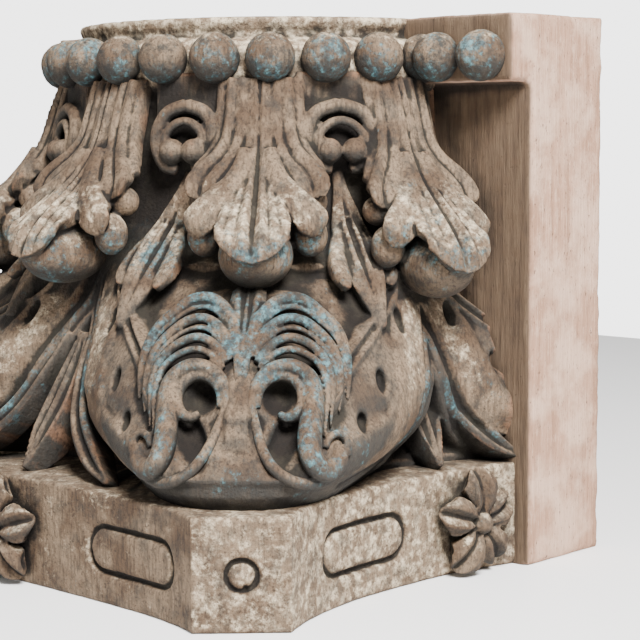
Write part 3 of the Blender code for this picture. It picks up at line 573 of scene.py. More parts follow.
def makeBell():
    columns, levels = 540, 250
    angle, height = np.meshgrid(np.linspace(-90, 90, columns), np.linspace(58, 360, levels))
    front = polar(angle, carvedBowl(angle, height), height)
    inset = np.array((0, 25 * mm, 0))
    rings = np.concatenate([front, front[:, -1:] + inset, front[:, :1] + inset], 1)
    addShell(rings.reshape(-1, 3), [tuple(reversed(face)) for face in ringFaces(levels, columns + 2)])


# Turning shells into one carved skin

# plain mesh object in place of one with modifiers
def evaluated(source, name):
    bpy.context.view_layer.update()
    mesh = bpy.data.meshes.new_from_object(source.evaluated_get(bpy.context.evaluated_depsgraph_get()))
    mesh.name = name
    bpy.data.objects.remove(source)
    made = bpy.data.objects.new(name, mesh)
    bpy.context.scene.collection.objects.link(made)
    return made


def modify(target, kind, **settings):
    modifier = target.modifiers.new(kind, kind)
    for key, value in settings.items():
        setattr(modifier, key, value)
    return modifier


def bodyVolume(body):
    faces = {face for vert in body for face in vert.link_faces}
    return sum(face.calc_center_median().dot(face.normal) * face.calc_area() for face in faces)


def skin(source, grain, name):
    modify(source, "REMESH", mode="VOXEL", voxel_size=grain)
    made = evaluated(source, name)
    shape = bmesh.new()
    shape.from_mesh(made.data)
    seen = set()
    bodies = []
    for vert in shape.verts:
        if vert.index in seen:
            continue
        seen.add(vert.index)
        body, queue = [], [vert]
        while queue:
            here = queue.pop()
            body.append(here)
            for edge in here.link_edges:
                other = edge.other_vert(here)
                if other.index not in seen:
                    seen.add(other.index)
                    queue.append(other)
        bodies.append(body)
    loose = [vert for body in bodies if len(body) < smallestBody or bodyVolume(body) < 0 for vert in body]
    bmesh.ops.delete(shape, geom=loose, context="VERTS")
    shape.to_mesh(made.data)
    shape.free()
    return made


def thinned(source, triangles, name):
    count = sum(len(face.vertices) - 2 for face in source.data.polygons)
    if count > triangles:
        modify(source, "DECIMATE", ratio=triangles / count)
        source = evaluated(source, name)
    return source


grain = 0.00135
fineGrain = grain * 0.8
smallestBody = 300  # vertices; smaller loose bodies are dropped


# Worn surface: arrises rubbed round, small tool marks and the wood's grain

def edgesOf(mesh):
    edges = np.empty(len(mesh.edges) * 2, int)
    mesh.edges.foreach_get("vertices", edges)
    return edges.reshape(-1, 2)


# points and normals of a mesh
def readMesh(mesh):
    points = np.empty(len(mesh.vertices) * 3)
    mesh.vertices.foreach_get("co", points)
    normals = np.empty(len(points))
    mesh.vertex_normals.foreach_get("vector", normals)
    return points.reshape(-1, 3), normals.reshape(-1, 3)


# for each vertex the total of a value over its neighbours
def neighbourTotal(values, edges):
    first, second = edges[:, 0], edges[:, 1]
    return np.bincount(first, values[second], len(values)) + np.bincount(second, values[first], len(values))


# points moved towards the mean of their neighbours
def smoothed(points, edges, rounds):
    degree = np.maximum(np.bincount(edges.ravel(), minlength=len(points)), 1)[:, None]
    for _ in range(rounds):
        total = np.stack([neighbourTotal(column, edges) for column in points.T], -1)
        points = 0.5 * points + 0.5 * total / degree
    return points


# noise between about -1 and 1 with features of the given size in metres
def cloud(points, size, octaves=3, seed=0):
    shift = Vector((seed * 7.31, seed * 3.17, seed * 5.77))
    stretch = np.array(size) if np.ndim(size) else np.array((size, size, size))
    return np.array([noise.fractal(Vector(point) + shift, 0.9, 2.1, octaves) for point in points / stretch])


tooling = {"rubCloud": 0.018, "dentCloud": 0.012, "smallDents": 0.0045, "highest": 0.15}


# rub the arrises (a share) and dent the surface (metres)
def wear(target, rubbed, dents, seed):
    mesh = target.data
    points, normals = readMesh(mesh)
    soft = smoothed(points, edgesOf(mesh), 6)
    outward = ((points - soft) * normals).sum(1)
    amount = np.clip(0.5 + 0.9 * cloud(points, tooling["rubCloud"], 3, seed), 0, 1) * rubbed
    moved = points + (soft - points) * (amount * (outward > 0))[:, None]
    dent = cloud(points, tooling["dentCloud"], 3, seed + 1) * 0.6
    dent += cloud(points, tooling["smallDents"], 2, seed + 2) * 0.4
    moved += normals * (np.minimum(dent, tooling["highest"]) * dents)[:, None]
    mesh.vertices.foreach_set("co", moved.ravel())
    mesh.update()


# Board and strip behind the bead ring

board = {"halfWidth": 0.253, "back": boardBack, "cell": 0.0032,
         "stripFront": -0.0235, "stripInside": 0.150, "stripLow": 0.352, "stripBack": 0.012,
         "grain": 0.0027, "triangles": 130000}


# box with its faces divided into cells
def addBox(low, high, cell):
    low, high = np.array(low, float), np.array(high, float)
    counts = np.maximum(np.round((high - low) / cell).astype(int), 1)
    for axis in range(3):
        first, second = (axis + 1) % 3, (axis + 2) % 3
        for end in (0, 1):
            a, b = np.meshgrid(*(np.linspace(0, 1, counts[way] + 1) for way in (first, second)))
            points = np.empty(a.shape + (3,))
            points[..., first] = low[first] + (high[first] - low[first]) * a
            points[..., second] = low[second] + (high[second] - low[second]) * b
            points[..., axis] = (low, high)[end][axis]
            rows, columns = a.shape
            faces = []
            for row in range(rows - 1):
                for column in range(columns - 1):
                    corner = row * columns + column
                    face = (corner, corner + 1, corner + columns + 1, corner + columns)
                    faces.append(face if end else tuple(reversed(face)))
            addShell(points.reshape(-1, 3), faces)


def welded(source):
    shape = bmesh.new()
    shape.from_mesh(source.data)
    bmesh.ops.remove_doubles(shape, verts=shape.verts, dist=0.00002)
    bmesh.ops.recalc_face_normals(shape, faces=shape.faces)
    shape.to_mesh(source.data)
    shape.free()
    return source


def makeBoard():
    half = board["halfWidth"]
    addBox((-half, 0, floorLevel), (half, board["back"], topLevel), board["cell"])
    for sign in (-1, 1):
        low, high = sorted((sign * board["stripInside"], sign * half))
        start = (low, board["stripFront"], board["stripLow"])
        addBox(start, (high, board["stripBack"], topLevel), board["cell"])
    made = skin(takeShells("wall_board"), board["grain"], "wall_board")
    return thinned(made, board["triangles"], "wall_board")


# Abacus

abacus = {"frontReach": 0.277, "frontFlare": 0.013, "sideReach": 0.2245, "sideFlare": 0.026,
          "hollowPlace": 0.110, "hornWidth": 0.064, "height": 0.0755, "cell": 0.00125,
          "grooveDeep": 0.004,
          "panel": (0.090, 0.031), "frontPanel": 0.134, "sidePanel": 0.150, "middleHeight": 0.0372,
          "grooveHalf": 0.0021, "setback": 0.0024, "hornRing": 0.010, "pinAcross": 0.0024, "pinUp": -0.007,
          "pinHalf": 0.0017, "pinDeep": 0.003,
          "topShares": (0.985, 0.96, 0.93, 0.89, 0.84, 0.78, 0.6, 0.3)}


def sideReach(place):
    hornEnd = abacus["frontReach"] + abacus["frontFlare"] - abacus["hornWidth"] / math.sqrt(2)
    aside = np.abs(abacus["hollowPlace"] - place) / (hornEnd - abacus["hollowPlace"])
    return abacus["sideReach"] + abacus["sideFlare"] * np.minimum(aside, 1) ** 2.6


# half the horn's width in x or y, and the middle of its cut face
def hornPlace():
    half = abacus["hornWidth"] / 2 / math.sqrt(2)
    furthest = abacus["frontReach"] + abacus["frontFlare"]
    return half, board["halfWidth"] - half - abacus["setback"], half - furthest


# right half of the plan from the front's middle to the back, evenly spaced
def abacusOutline():
    halfHorn, hornX, hornY = hornPlace()
    t = np.linspace(0, 1, 200)
    front = np.stack([(hornX - halfHorn) * t, -abacus["frontReach"] - abacus["frontFlare"] * t ** 6], -1)
    y = (hornY + halfHorn) * (1 - t)
    side = np.stack([sideReach(-y), y], -1)
    back = np.array([[side[-1, 0], board["back"] * 0.5]])
    path = []
    for start, stop in ((front, side[:1]), (side, back)):
        row = np.vstack([start, stop])
        spans = np.linalg.norm(np.diff(row, axis=0), axis=1)
        length = np.concatenate([[0], np.cumsum(spans)])
        even = np.linspace(0, length[-1], max(int(length[-1] / abacus["cell"]), 2))
        breaks = length[len(start) - 1]
        even[np.argmin(np.abs(even - breaks))] = breaks
        path.append(np.stack([np.interp(even, length, row[:, axis]) for axis in range(2)], -1)[:-1])
    return np.vstack(path + [back])


# distance to the middle line of a groove round a long panel with round ends
def stadium(across, up, length, height):
    past = np.maximum(np.abs(across) - (length - height) / 2, 0)
    return np.abs(np.hypot(past, up) - height / 2)


def makeAbacus():
    right = abacusOutline()
    left = right[::-1] * (-1, 1)
    loop = np.vstack([right, left[:-1]])
    ahead, behind = np.roll(loop, -1, 0), np.roll(loop, 1, 0)
    tangent = ahead - behind
    tangent /= np.linalg.norm(tangent, axis=1)[:, None]
    outward = np.stack([tangent[:, 1], -tangent[:, 0]], -1)
    tall = abacus["height"]
    levels = [(0.0022, 0), (0.0008, 0.0005), (0, 0.0018)]
    levels += [(0, height) for height in np.arange(0.0018, tall - 0.0022, abacus["cell"])[1:]]
    levels += [(0, tall - 0.0018), (0.0006, tall - 0.0006), (0.0018, tall)]
    hornMiddle = np.array(hornPlace()[1:])
    mirroring = np.sign(loop[:, :1]) * (1, 0) + (0, 1)
    along = (loop * mirroring - hornMiddle) @ np.array((1, 1)) / math.sqrt(2)
    rings = []
    for inset, height in levels:
        level = np.full(len(loop), height)
        x, y = np.abs(loop[:, 0]), loop[:, 1]
        up = level - abacus["middleHeight"]
        onFront = (y < -abacus["frontReach"] + 0.0005) | ((x < 0.2) & (y < -0.25))
        groove = stadium(x - abacus["frontPanel"], up, *abacus["panel"]) + 1 * ~onFront
        onSide = (x > 0.21) & (y > -0.235)
        groove = np.minimum(groove, stadium(y + abacus["sidePanel"], up, *abacus["panel"]) + 1 * ~onSide)
        onHorn = np.abs(along) < abacus["hornWidth"] / 2
        ring = np.abs(np.hypot(along, up) - abacus["hornRing"])
        groove = np.minimum(groove, ring + 1 * ~(onHorn & ~onFront & ~onSide))
        pin = np.hypot(along - abacus["pinAcross"], up - abacus["pinUp"])
        depth = abacus["grooveDeep"] * np.exp(-(groove / abacus["grooveHalf"]) ** 4)
        depth = depth + abacus["pinDeep"] * np.exp(-(pin / abacus["pinHalf"]) ** 4) * onHorn
        flat = loop - outward * (inset + depth)[:, None]
        rings.append(np.column_stack([flat, level]))
    middle = np.array((0, -0.1, 0))
    top = rings[-1]
    for shrink in abacus["topShares"]:
        rings.append((top - middle) * (shrink, shrink, 1) + middle)
    points = np.array(rings)
    addShell(points.reshape(-1, 3), ringFaces(len(rings), len(loop)))
    return welded(takeShells("abacus"))


# Rim turned above the bell

rim = {
    "profile": ((161, 345), (166.5, 350), (168.5, 356), (168, 363), (167.5, 372), (167, 379), (163, 382.5),
                (156.5, 385.5), (155.2, 389), (156.8, 393.5), (157.6, 397), (156, 399.6), (150, 400),
                (120, 400), (60, 400), (20, 400)),
    "levels": 70,
    "columns": 300,
    "behind": 0.012,
}


def makeRim():
    columns = rim["columns"]
    angle = np.linspace(-90, 90, columns)
    behind = (0, rim["behind"], 0)
    rings = []
    for radius, height in smoothRows(rim["profile"], rim["levels"]):
        front = polar(angle, np.full(columns, radius), np.full(columns, height))
        rings.append(np.vstack([front, front[-1] + behind, front[0] + behind]))
    points = np.array(rings)
    addShell(points.reshape(-1, 3), [tuple(reversed(face)) for face in ringFaces(len(rings), columns + 2)])
    return welded(takeShells("bell_rim"))


# Beads

beadRing = {"radius": 0.0185, "ring": 0.171, "height": 0.370, "count": 13, "step": 13.5, "middle": 2.2,
            "strip": (0.189, 0.230), "turn": (0.5, 0.5, 6.28), "smallest": (0.955, 0.955, 0.965), "seed": 7}


# beads set on a row of points by Geometry Nodes
def makeBeads():
    places = []
    for index in range(beadRing["count"]):
        turn = math.radians(beadRing["middle"] + beadRing["step"] * (index - beadRing["count"] // 2))
        reach = beadRing["ring"]
        places.append((reach * math.sin(turn), -reach * math.cos(turn), beadRing["height"]))
    for sign in (-1, 1):
        for place in beadRing["strip"]:
            places.append((sign * place, board["stripFront"] - 0.005, beadRing["height"]))
    mesh = bpy.data.meshes.new("bead_places")
    mesh.from_pydata(places, [], [])
    holder = bpy.data.objects.new("beads", mesh)
    bpy.context.scene.collection.objects.link(holder)
    tree = bpy.data.node_groups.new("bead_row", "GeometryNodeTree")
    sockets = {}
    for name, way, kind in (("Geometry", "INPUT", "Geometry"), ("Bead Radius", "INPUT", "Float"),
                            ("Subdivisions", "INPUT", "Int"), ("Seed", "INPUT", "Int"),
                            ("Finish", "INPUT", "Material"), ("Geometry", "OUTPUT", "Geometry")):
        sockets[name] = tree.interface.new_socket(name, in_out=way, socket_type="NodeSocket" + kind)
    start = addNode(tree, "NodeGroupInput").outputs
    sphere = addNode(tree, "GeometryNodeMeshIcoSphere", {"Radius": start["Bead Radius"],
                                                         "Subdivisions": start["Subdivisions"]})
    turn = addNode(tree, "FunctionNodeRandomValue", {"Max": beadRing["turn"], "Seed": start["Seed"]},
                   data_type="FLOAT_VECTOR")
    size = addNode(tree, "FunctionNodeRandomValue", {"Min": beadRing["smallest"], "Max": (1, 1, 1),
                                                     "Seed": start["Seed"]}, data_type="FLOAT_VECTOR")
    place = addNode(tree, "GeometryNodeInstanceOnPoints",
                    {"Points": start["Geometry"], "Instance": sphere.outputs["Mesh"],
                     "Rotation": turn.outputs["Value"], "Scale": size.outputs["Value"]})
    realize = addNode(tree, "GeometryNodeRealizeInstances", {"Geometry": place.outputs["Instances"]})
    finish = addNode(tree, "GeometryNodeSetMaterial", {"Geometry": realize.outputs["Geometry"],
                                                       "Material": start["Finish"]})
    addNode(tree, "NodeGroupOutput", {"Geometry": finish.outputs["Geometry"]})
    modifier = holder.modifiers.new("bead_row", "NODES")
    modifier.node_group = tree
    for name, value in (("Bead Radius", beadRing["radius"]), ("Subdivisions", 5),
                        ("Seed", beadRing["seed"]), ("Finish", materials["beads"])):
        modifier[sockets[name].identifier] = value
    return evaluated(holder, "beads")


# Rosettes on the abacus: five folded petals round a bud

rosette = {
    "gapToBoard": 0.0425,
    "petals": 5,
    "petal": ((0, 6, 3, 5, 6), (0, 13, 8, 7, 9), (0, 16, 15, 10, 10), (0, 15.5, 23, 13.5, 10),
              (0, 12, 31, 14.5, 9), (0, 7.5, 36.5, 11, 7), (0, 5, 39, 5, 5)),
    "bud": (8, 8, 8.5),
    "budLift": 14,
}


def petalSection(across, along):
    return 0.34 * (bump(across, 0.48, 0.26) + bump(across, -0.48, 0.26)) - 0.10 * bump(across, 0, 0.14)


def makeRosette(centre, outward):
    centre, outward = np.array(centre), np.array(outward, float)
    alongFace = np.cross((0, 0, 1), outward)

    def frameOf(turn):
        reach = alongFace * math.cos(turn) + np.array((0, 0, 1)) * math.sin(turn)
        across = np.cross(outward, reach)

        def toPoint(aside, lift, distance):
            spot = centre + np.multiply.outer(distance * mm, reach) + np.multiply.outer(aside * mm, across)
            return spot + np.multiply.outer(lift * mm, outward)
        return toPoint
    for petal in range(rosette["petals"]):
        turn = math.tau * (petal + 0.25) / rosette["petals"]
        blade(rosette["petal"], frameOf(turn), petalSection, 26, 25, 0.9)
    basis = np.array((alongFace, (0, 0, 1), outward))
    ball(centre + outward * rosette["budLift"] * mm, rosette["bud"], basis, 20, 28)


def makeRosettes():
    sideFace = float(sideReach(rosette["gapToBoard"]))
    middleHeight = abacus["height"] / 2
    for sign in (-1, 1):
        makeRosette((sign * sideFace, -rosette["gapToBoard"], middleHeight), (sign, 0, 0))
    makeRosette((0, -abacus["frontReach"], middleHeight), (0, -1, 0))
    return takeShells("rosette_shells")


# Materials: old wood with the remains of gesso and blue-green paint

# the grime and moss tones colour the painted shade in hollows and under overhangs
colours = {
    "wood": "4f3e2f", "darkWood": "2a2019", "cream": "c9b89d", "beige": "74624f", "darkPaintAndShade": "282826",
    "teal": "2c4a52", "turquoise": "56838a", "grime": "110d0a", "greenGrimeAndShade": "1e1b15", "bare": "8a6145",
    "raw": "a3806a", "rawPale": "bb9d88", "rawDark": "8a6954", "frontDarkBrown": "3b2e24", "frontMidBrown": "5f4e3d",
}


# a hex sRGB colour as linear numbers
def linear(name):
    code = colours[name]
    parts = [int(code[place:place + 2], 16) / 255 for place in (0, 2, 4)]
    return (*(part / 12.92 if part <= 0.04045 else ((part + 0.055) / 1.055) ** 2.4 for part in parts), 1.0)


def addNode(tree, kind, inputs=None, **settings):
    node = tree.nodes.new(kind)
    for key, value in settings.items():
        setattr(node, key, value)
    for key, value in (inputs or {}).items():
        if isinstance(value, bpy.types.NodeSocket):
            tree.links.new(value, node.inputs[key])
        else:
            node.inputs[key].default_value = value
    return node


# value made of named values times their weights, and a number
def weighted(tree, values, terms, extra=0.0):
    total = extra
    for name, weight in terms.items():
        total = addNode(tree, "ShaderNodeMath", {0: values[name], 1: weight, 2: total},
                        operation="MULTIPLY_ADD").outputs[0]
    return total


# material from noises (size in mm, detail, roughness, stretch along the grain, shift) and colour layers
# (result, colour under, colour over, weighted terms, extra, ramp); each layer's share can be used again
def layeredMaterial(name, noises, attributes, layers, height, bump):
    material = bpy.data.materials.new(name)
    material.use_nodes = True
    tree = material.node_tree
    shader = tree.nodes["Principled BSDF"]
    place = addNode(tree, "ShaderNodeTexCoord").outputs["Object"]
    values, tones = {}, {key: linear(key) for key in colours}
    for key in attributes:
        values[key] = addNode(tree, "ShaderNodeAttribute", attribute_name=key).outputs["Fac"]
    for key, (size, detail, rough, stretch, shift) in noises.items():
        moved = addNode(tree, "ShaderNodeMapping", {"Vector": place, "Scale": (1, 1, stretch),
                                                    "Location": (shift, shift, shift)}).outputs[0]
        made = addNode(tree, "ShaderNodeTexNoise", {"Vector": moved, "Scale": 1 / (size * mm),
                                                    "Detail": detail, "Roughness": rough})
        values[key] = made.outputs["Fac"]
    for result, under, over, terms, extra, ramp in layers:
        share = weighted(tree, values, terms, extra)
        if ramp:
            low, high, start, end = ramp
            share = addNode(tree, "ShaderNodeMapRange", {"Value": share, "From Min": low, "From Max": high,
                                                         "To Min": start, "To Max": end},
                            interpolation_type="SMOOTHSTEP").outputs[0]
        values[over + "Share"] = share
        tones[result] = addNode(tree, "ShaderNodeMix", {0: share, 6: tones[under], 7: tones[over]},
                                data_type="RGBA").outputs[2]
    strength, distance, roughness = bump
    relief = addNode(tree, "ShaderNodeBump", {"Height": weighted(tree, values, height), "Strength": strength,
                                              "Distance": distance})
    tree.links.new(relief.outputs[0], shader.inputs["Normal"])
    tree.links.new(tones["colour"], shader.inputs["Base Color"])
    shader.inputs["Roughness"].default_value = roughness
    shader.inputs["Specular IOR Level"].default_value = 0.25
    return material


# old carved wood: brown wood, dark old paint, worn cream ground, blue-green paint left in places,
# bare arrises, patina in clouds, flecks, and grime mixed with painted shade in the hollows, under overhangs
# and where little sky is open
def paintedWood(name, creamShare, tealShare, shadeAndGrimeShare, patinaShare):
    noises = {"grain": (2.2, 3, 0.6, 0.12, 0), "broad": (34, 4, 0.6, 1, 0), "patch": (11, 6, 0.68, 1, 3),
              "fine": (2.4, 4, 0.7, 1, 5), "flake": (7, 4, 0.6, 1, 9), "paintPatch": (5, 6, 0.75, 1, 13),
              "paintCloud": (24, 4, 0.6, 1, 19), "paintTone": (4.5, 5, 0.6, 1, 17),
              "patina": (15, 6, 0.72, 1, 27), "fleck": (2.2, 4, 0.75, 1, 21)}
    layers = (
        ("colour", "wood", "beige", {"broad": 1}, 0, (0.38, 0.62, 0, 1)),
        ("colour", "colour", "darkWood", {"grain": 1}, 0, (0.42, 0.7, 0, 0.6)),
        # dark paint where the cream mask is low: real dark paint on the lower bowls and scrolls, and painted
        # shade on surfaces that face down
        ("colour", "colour", "darkPaintAndShade", {"cream": 1}, 0, (-0.9, -0.15, 0.85, 0)),
        ("pale", "beige", "cream", {"flake": 1}, 0, (0.4, 0.65, 0, 1)),
        # cream ground where the cream mask is high: worn cream paint, and painted highlight on surfaces that
        # face up
        ("colour", "colour", "pale", {"patch": 0.7, "fine": 0.55, "cream": 0.42}, creamShare - 0.86,
         (-0.04, 0.3, 0, 0.95)),
        ("paint", "teal", "turquoise", {"paintTone": 1}, 0, (0.42, 0.62, 0, 1)),
        ("colour", "colour", "paint", {"paintPatch": 1, "teal": 0.3, "paintCloud": 0.8}, tealShare - 1.15,
         (-0.08, 0.2, 0, 0.75)),
        ("colour", "colour", "bare", {"arris": 1, "patch": 1.2}, 0, (0.85, 1.3, 0, 0.35)),
        ("colour", "colour", "darkPaintAndShade", {"patina": 1}, 0, (0.46, 0.66, 0, patinaShare)),
        ("colour", "colour", "darkWood", {"fleck": 1}, 0, (0.52, 0.66, 0, 0.72)),
        # painted shade with some grime: the dark tone is laid where little sky is open, in hollows and on
        # undersides
        ("shadeAndDirt", "grime", "greenGrimeAndShade", {"broad": 1}, 0, (0.45, 0.6, 0, 1)),
        ("colour", "colour", "shadeAndDirt", {"open": -1, "hollow": 0.6, "patch": 0.7}, 0.65,
         (0.26 - shadeAndGrimeShare, 0.74 - shadeAndGrimeShare, 0, 0.95)),
    )
    height = {"patch": 0.6, "fine": 1, "grain": 0.5}
    return layeredMaterial(name, noises, ("cream", "teal", "hollow", "open", "arris"), layers, height,
                           (0.9, 0.0014, 0.86))


# the board: weathered raw wood with long grain, pale on its cut side and darker brown on its front face,
# with painted shade where little sky is open and in hollows
def rawWood(name):
    noises = {"streak": (5, 5, 0.65, 0.07, 0), "fibre": (1.3, 3, 0.7, 0.05, 4), "blotch": (45, 5, 0.6, 1, 7),
              "patch": (9, 6, 0.7, 1, 11), "pit": (2.2, 4, 0.8, 0.35, 15)}
    layers = (
        ("colour", "rawDark", "raw", {"streak": 1}, 0, (0.3, 0.7, 0, 1)),
        ("colour", "colour", "rawPale", {"blotch": 1}, 0, (0.42, 0.62, 0, 0.8)),
        ("colour", "colour", "rawPale", {"fibre": 0.7, "patch": 0.6}, 0, (0.66, 0.8, 0, 0.5)),
        ("colour", "colour", "darkWood", {"pit": 1}, 0, (0.61, 0.69, 0, 0.8)),
        ("brown", "frontDarkBrown", "frontMidBrown", {"streak": 1}, 0, (0.25, 0.75, 0, 1)),
        ("brown", "brown", "wood", {"patch": 1}, 0, (0.4, 0.7, 0, 0.7)),
        # darker brown on the front face
        ("colour", "colour", "brown", {"front": 1}, 0, None),
        # painted shade: darker where little sky is open and in hollows
        ("colour", "colour", "grime", {"open": -1, "hollow": 0.4}, 1, (0.35, 1.0, 0, 0.85)),
    )
    height = {"streak": 1, "fibre": 1, "darkWoodShare": -0.8}
    return layeredMaterial(name, noises, ("front", "hollow", "open"), layers, height, (0.7, 0.0012, 0.88))


materials = {
    # carved leaves, bowls and straps, and the rosettes
    "carving": paintedWood("carved_wood_old_paint", 0.05, 0.03, 0.03, 0.65),
    # corner scrolls, darkest, with the most painted shade, and with most blue-green
    "scrolls": paintedWood("scrolls_blue_green_paint", 0.04, 0.06, 0.1, 0.85),
    # beads, rubbed by hands and dusting
    "beads": paintedWood("beads_rubbed_paint", 0.14, 0.02, 0.06, 0.9),
    # abacus with its cream ground showing, paler on its sides and top as painted light
    "abacus": paintedWood("abacus_cream_ground", 0.18, 0.0, -0.03, 0.5),
    # turned rim, palest of all
    "rim": paintedWood("rim_cream_ground", 0.52, -0.10, -0.04, 0.3),
    # raw sawn wood of the wall board
    "board": rawWood("board_raw_wood"),
}


# Attributes that steer the materials: hollow (edges below 0), arris, open (0 where hidden), teal, cream
# and front; hollow and open place the painted shade, cream also carries painted light by facing, and front
# marks the board's darker front face

def setAttribute(mesh, name, values):
    mesh.attributes.new(name, "FLOAT", "POINT").data.foreach_set("value", np.asarray(values, np.float32))


skyLook = {"rays": 14, "reach": 0.07, "liftOff": 0.0012, "towardsNormal": 1.05, "farShare": 0.7, "rounds": 9}


# part of the sky above each vertex that is free, from a sample of vertices
def openness(points, normals, edges, tree, share):
    generator = np.random.default_rng(5)
    sample = np.flatnonzero(generator.random(len(points)) < share)
    directions = generator.normal(size=(skyLook["rays"], 3))
    directions /= np.linalg.norm(directions, axis=1)[:, None]
    values = np.zeros(len(points))
    known = np.zeros(len(points))
    reach = skyLook["reach"]
    for index in sample:
        normal = normals[index]
        start = Vector(points[index] + normal * skyLook["liftOff"])
        free = 0.0
        for direction in directions:
            hit = tree.ray_cast(start, Vector(direction + normal * skyLook["towardsNormal"]), reach)[3]
            free += 1.0 if hit is None else min(hit / reach, 1.0) * skyLook["farShare"]
        values[index] = free / skyLook["rays"]
        known[index] = 1
    for _ in range(skyLook["rounds"]):
        total, weight = neighbourTotal(values * known, edges), neighbourTotal(known, edges)
        fresh = (total + values * known * 2) / np.maximum(weight + known * 2, 1e-9)
        values = np.where(weight + known > 0, fresh, values)
        known = np.minimum(known + (weight > 0), 1)
    return values


# under: how much painted shade goes on surfaces that face down
paintLook = {"arris": 0.0016, "under": 0.6, "samples": 12000,
             "hollow": 0.0006, "deepHollow": 0.002}


def paintPiece(piece, tree, tealOf, creamAndLightingOf, frontOf=None):
    mesh = piece.data
    points, normals = readMesh(mesh)
    edges = edgesOf(mesh)
    soft = smoothed(points, edges, 8)
    near = ((soft - points) * normals).sum(1)
    softer = smoothed(soft, edges, 30)
    far = ((softer - points) * normals).sum(1)
    # hollow: concave places, for grime and painted shade in them
    hollow = np.clip(near / paintLook["hollow"], 0, 1) * 0.95
    hollow += np.clip(far / paintLook["deepHollow"], -0.4, 1) * 0.65
    # painted shade under overhangs: faces that look down count as hollow too
    hollow += paintLook["under"] * np.clip(-normals[:, 2] - 0.15, 0, 1)
    setAttribute(mesh, "hollow", smoothed(hollow[:, None], edges, 1)[:, 0])
    arris = np.clip(-near / paintLook["arris"] - 0.35, 0, 1)
    setAttribute(mesh, "arris", smoothed(arris[:, None], edges, 1)[:, 0])
    share = paintLook["samples"] / len(points)
    # open: share of free sky, used to lay painted shade where it is low
    setAttribute(mesh, "open", openness(points, normals, edges, tree, max(share, 0.05)))
    setAttribute(mesh, "teal", tealOf(points, normals))
    setAttribute(mesh, "cream", creamAndLightingOf(points, normals))
    if frontOf:
        setAttribute(mesh, "front", frontOf(points, normals))


makeBell()
for angle, drop, widen in ((overall["leafAngles"][1], 0, 1), (overall["leafAngles"][2], 10, 0.88)):
    for sign in (1, -1):
        makeBigLeaf(sign * angle, drop, widen)
makeBigLeaf(0)
for angle, widen, lean in archAndLeaf["places"]:
    for sign in (1, -1):
        makeArchAndLeaf(sign * angle, widen, lean)
makeBetweenBowls(0, 1.0)
for sign in (1, -1):
    makeBetweenBowls(sign * overall["sideMiddle"], betweenBowls["sideReach"])
bellShells = takeShells("bellShells")
makeCornerScrolls()
scrollShells = takeShells("scrollShells", mirror=True)
print("forms made")

bellCarving = thinned(skin(bellShells, grain, "bell_carving"), 195000, "bell_carving")
scrolls = thinned(skin(scrollShells, fineGrain, "corner_scrolls"), 120000, "corner_scrolls")
rosettes = thinned(skin(makeRosettes(), fineGrain, "rosettes"), 40000, "rosettes")


pressedShare = 0.5


# the outermost carving pressed in softly where it would pass the real width
def keepInside(piece):
    mesh = piece.data
    points = readMesh(mesh)[0]
    limit = board["halfWidth"]
    past = np.maximum(np.abs(points[:, 0]) - limit, 0)
    points[:, 0] -= np.sign(points[:, 0]) * past * pressedShare
    points = np.clip(points, cadBox[0], cadBox[1])
    mesh.vertices.foreach_set("co", points.ravel())
    mesh.update()


pieces = {"bellCarving": bellCarving, "scrolls": scrolls, "rosettes": rosettes, "board": makeBoard(),
          "abacus": makeAbacus(), "rim": makeRim(), "beads": makeBeads()}
for name, rubbed, dents, seed in (("board", 0.9, 0.0007, 3), ("abacus", 0.9, 0.0006, 5),
                                  ("rim", 0.8, 0.0007, 7), ("beads", 0.6, 0.0008, 9),
                                  ("rosettes", 0.3, 0.0004, 11)):
    wear(pieces[name], rubbed, dents, seed)
for piece in pieces.values():
    keepInside(piece)
print("skins made", {key: len(piece.data.polygons) for key, piece in pieces.items()})

everything = bmesh.new()
for piece in pieces.values():
    everything.from_mesh(piece.data)
shadeTree = BVHTree.FromBMesh(everything)
everything.free()


# the same amount everywhere
def even(amount):
    return lambda points, normals: np.full(len(points), amount)


# more on what faces up: on the cream mask this paints highlight on tops and, through the dark paint, painted
# shade on undersides
def facingUp(share=1.0, shift=0.0):
    return lambda points, normals: np.clip(normals[:, 2], -0.8, 0.8) * share + shift


# most blue-green near the leaf tips, under them and on the bands beside the straps
def carvingTeal(points, normals):
    z = points[:, 2] / mm
    return bump(z, 236, 20) * 0.7 + beside(points, 8, 7) * 0.6 + bump(z, 120, 40) * 0.2


# 1 along a line at a distance in mm from the outer ridge of the straps
def beside(points, place, wide):
    angle = np.degrees(np.arctan2(points[:, 0], -points[:, 1]))
    radius = np.hypot(points[:, 0], points[:, 1]) / mm
    height = points[:, 2] / mm
    ridge = np.array(bowl["outerRidge"])[::-1]
    past = (fromBowl(angle) - np.interp(height, ridge[:, 1], ridge[:, 0])) * radius * math.pi / 180
    return np.exp(-((past - place) / wide) ** 4) * step(84, 95, height) * (1 - step(208, 220, height))


# tongues and trunks of the leaves are palest where they face up, partly worn cream ground and partly painted
# highlight, and darkest where they face down as painted shade; the straps are pale too
def carvingCreamAndLighting(points, normals):
    z = points[:, 2] / mm
    leaves = np.clip(normals[:, 2] * 0.9, -0.9, 0.8) + bump(z, 255, 22) * 0.5 - 0.35 * step(262, 300, z)
    low = 1 - step(190, 225, z)
    return leaves - 0.15 + low * (1.25 * beside(points, -13, 15) - 0.75)


def scrollTeal(points, normals):
    z = points[:, 2] / mm
    return 0.45 + 0.35 * step(140, 200, z) - 0.4 * step(0.1, 0.6, -normals[:, 2])


# cream mask of the abacus: paler on its side faces and top, partly its worn cream ground and partly painted
# light
def abacusCreamAndLighting(points, normals):
    return 0.5 * normals[:, 0] * np.sign(points[:, 0]) + 0.3 * normals[:, 2]


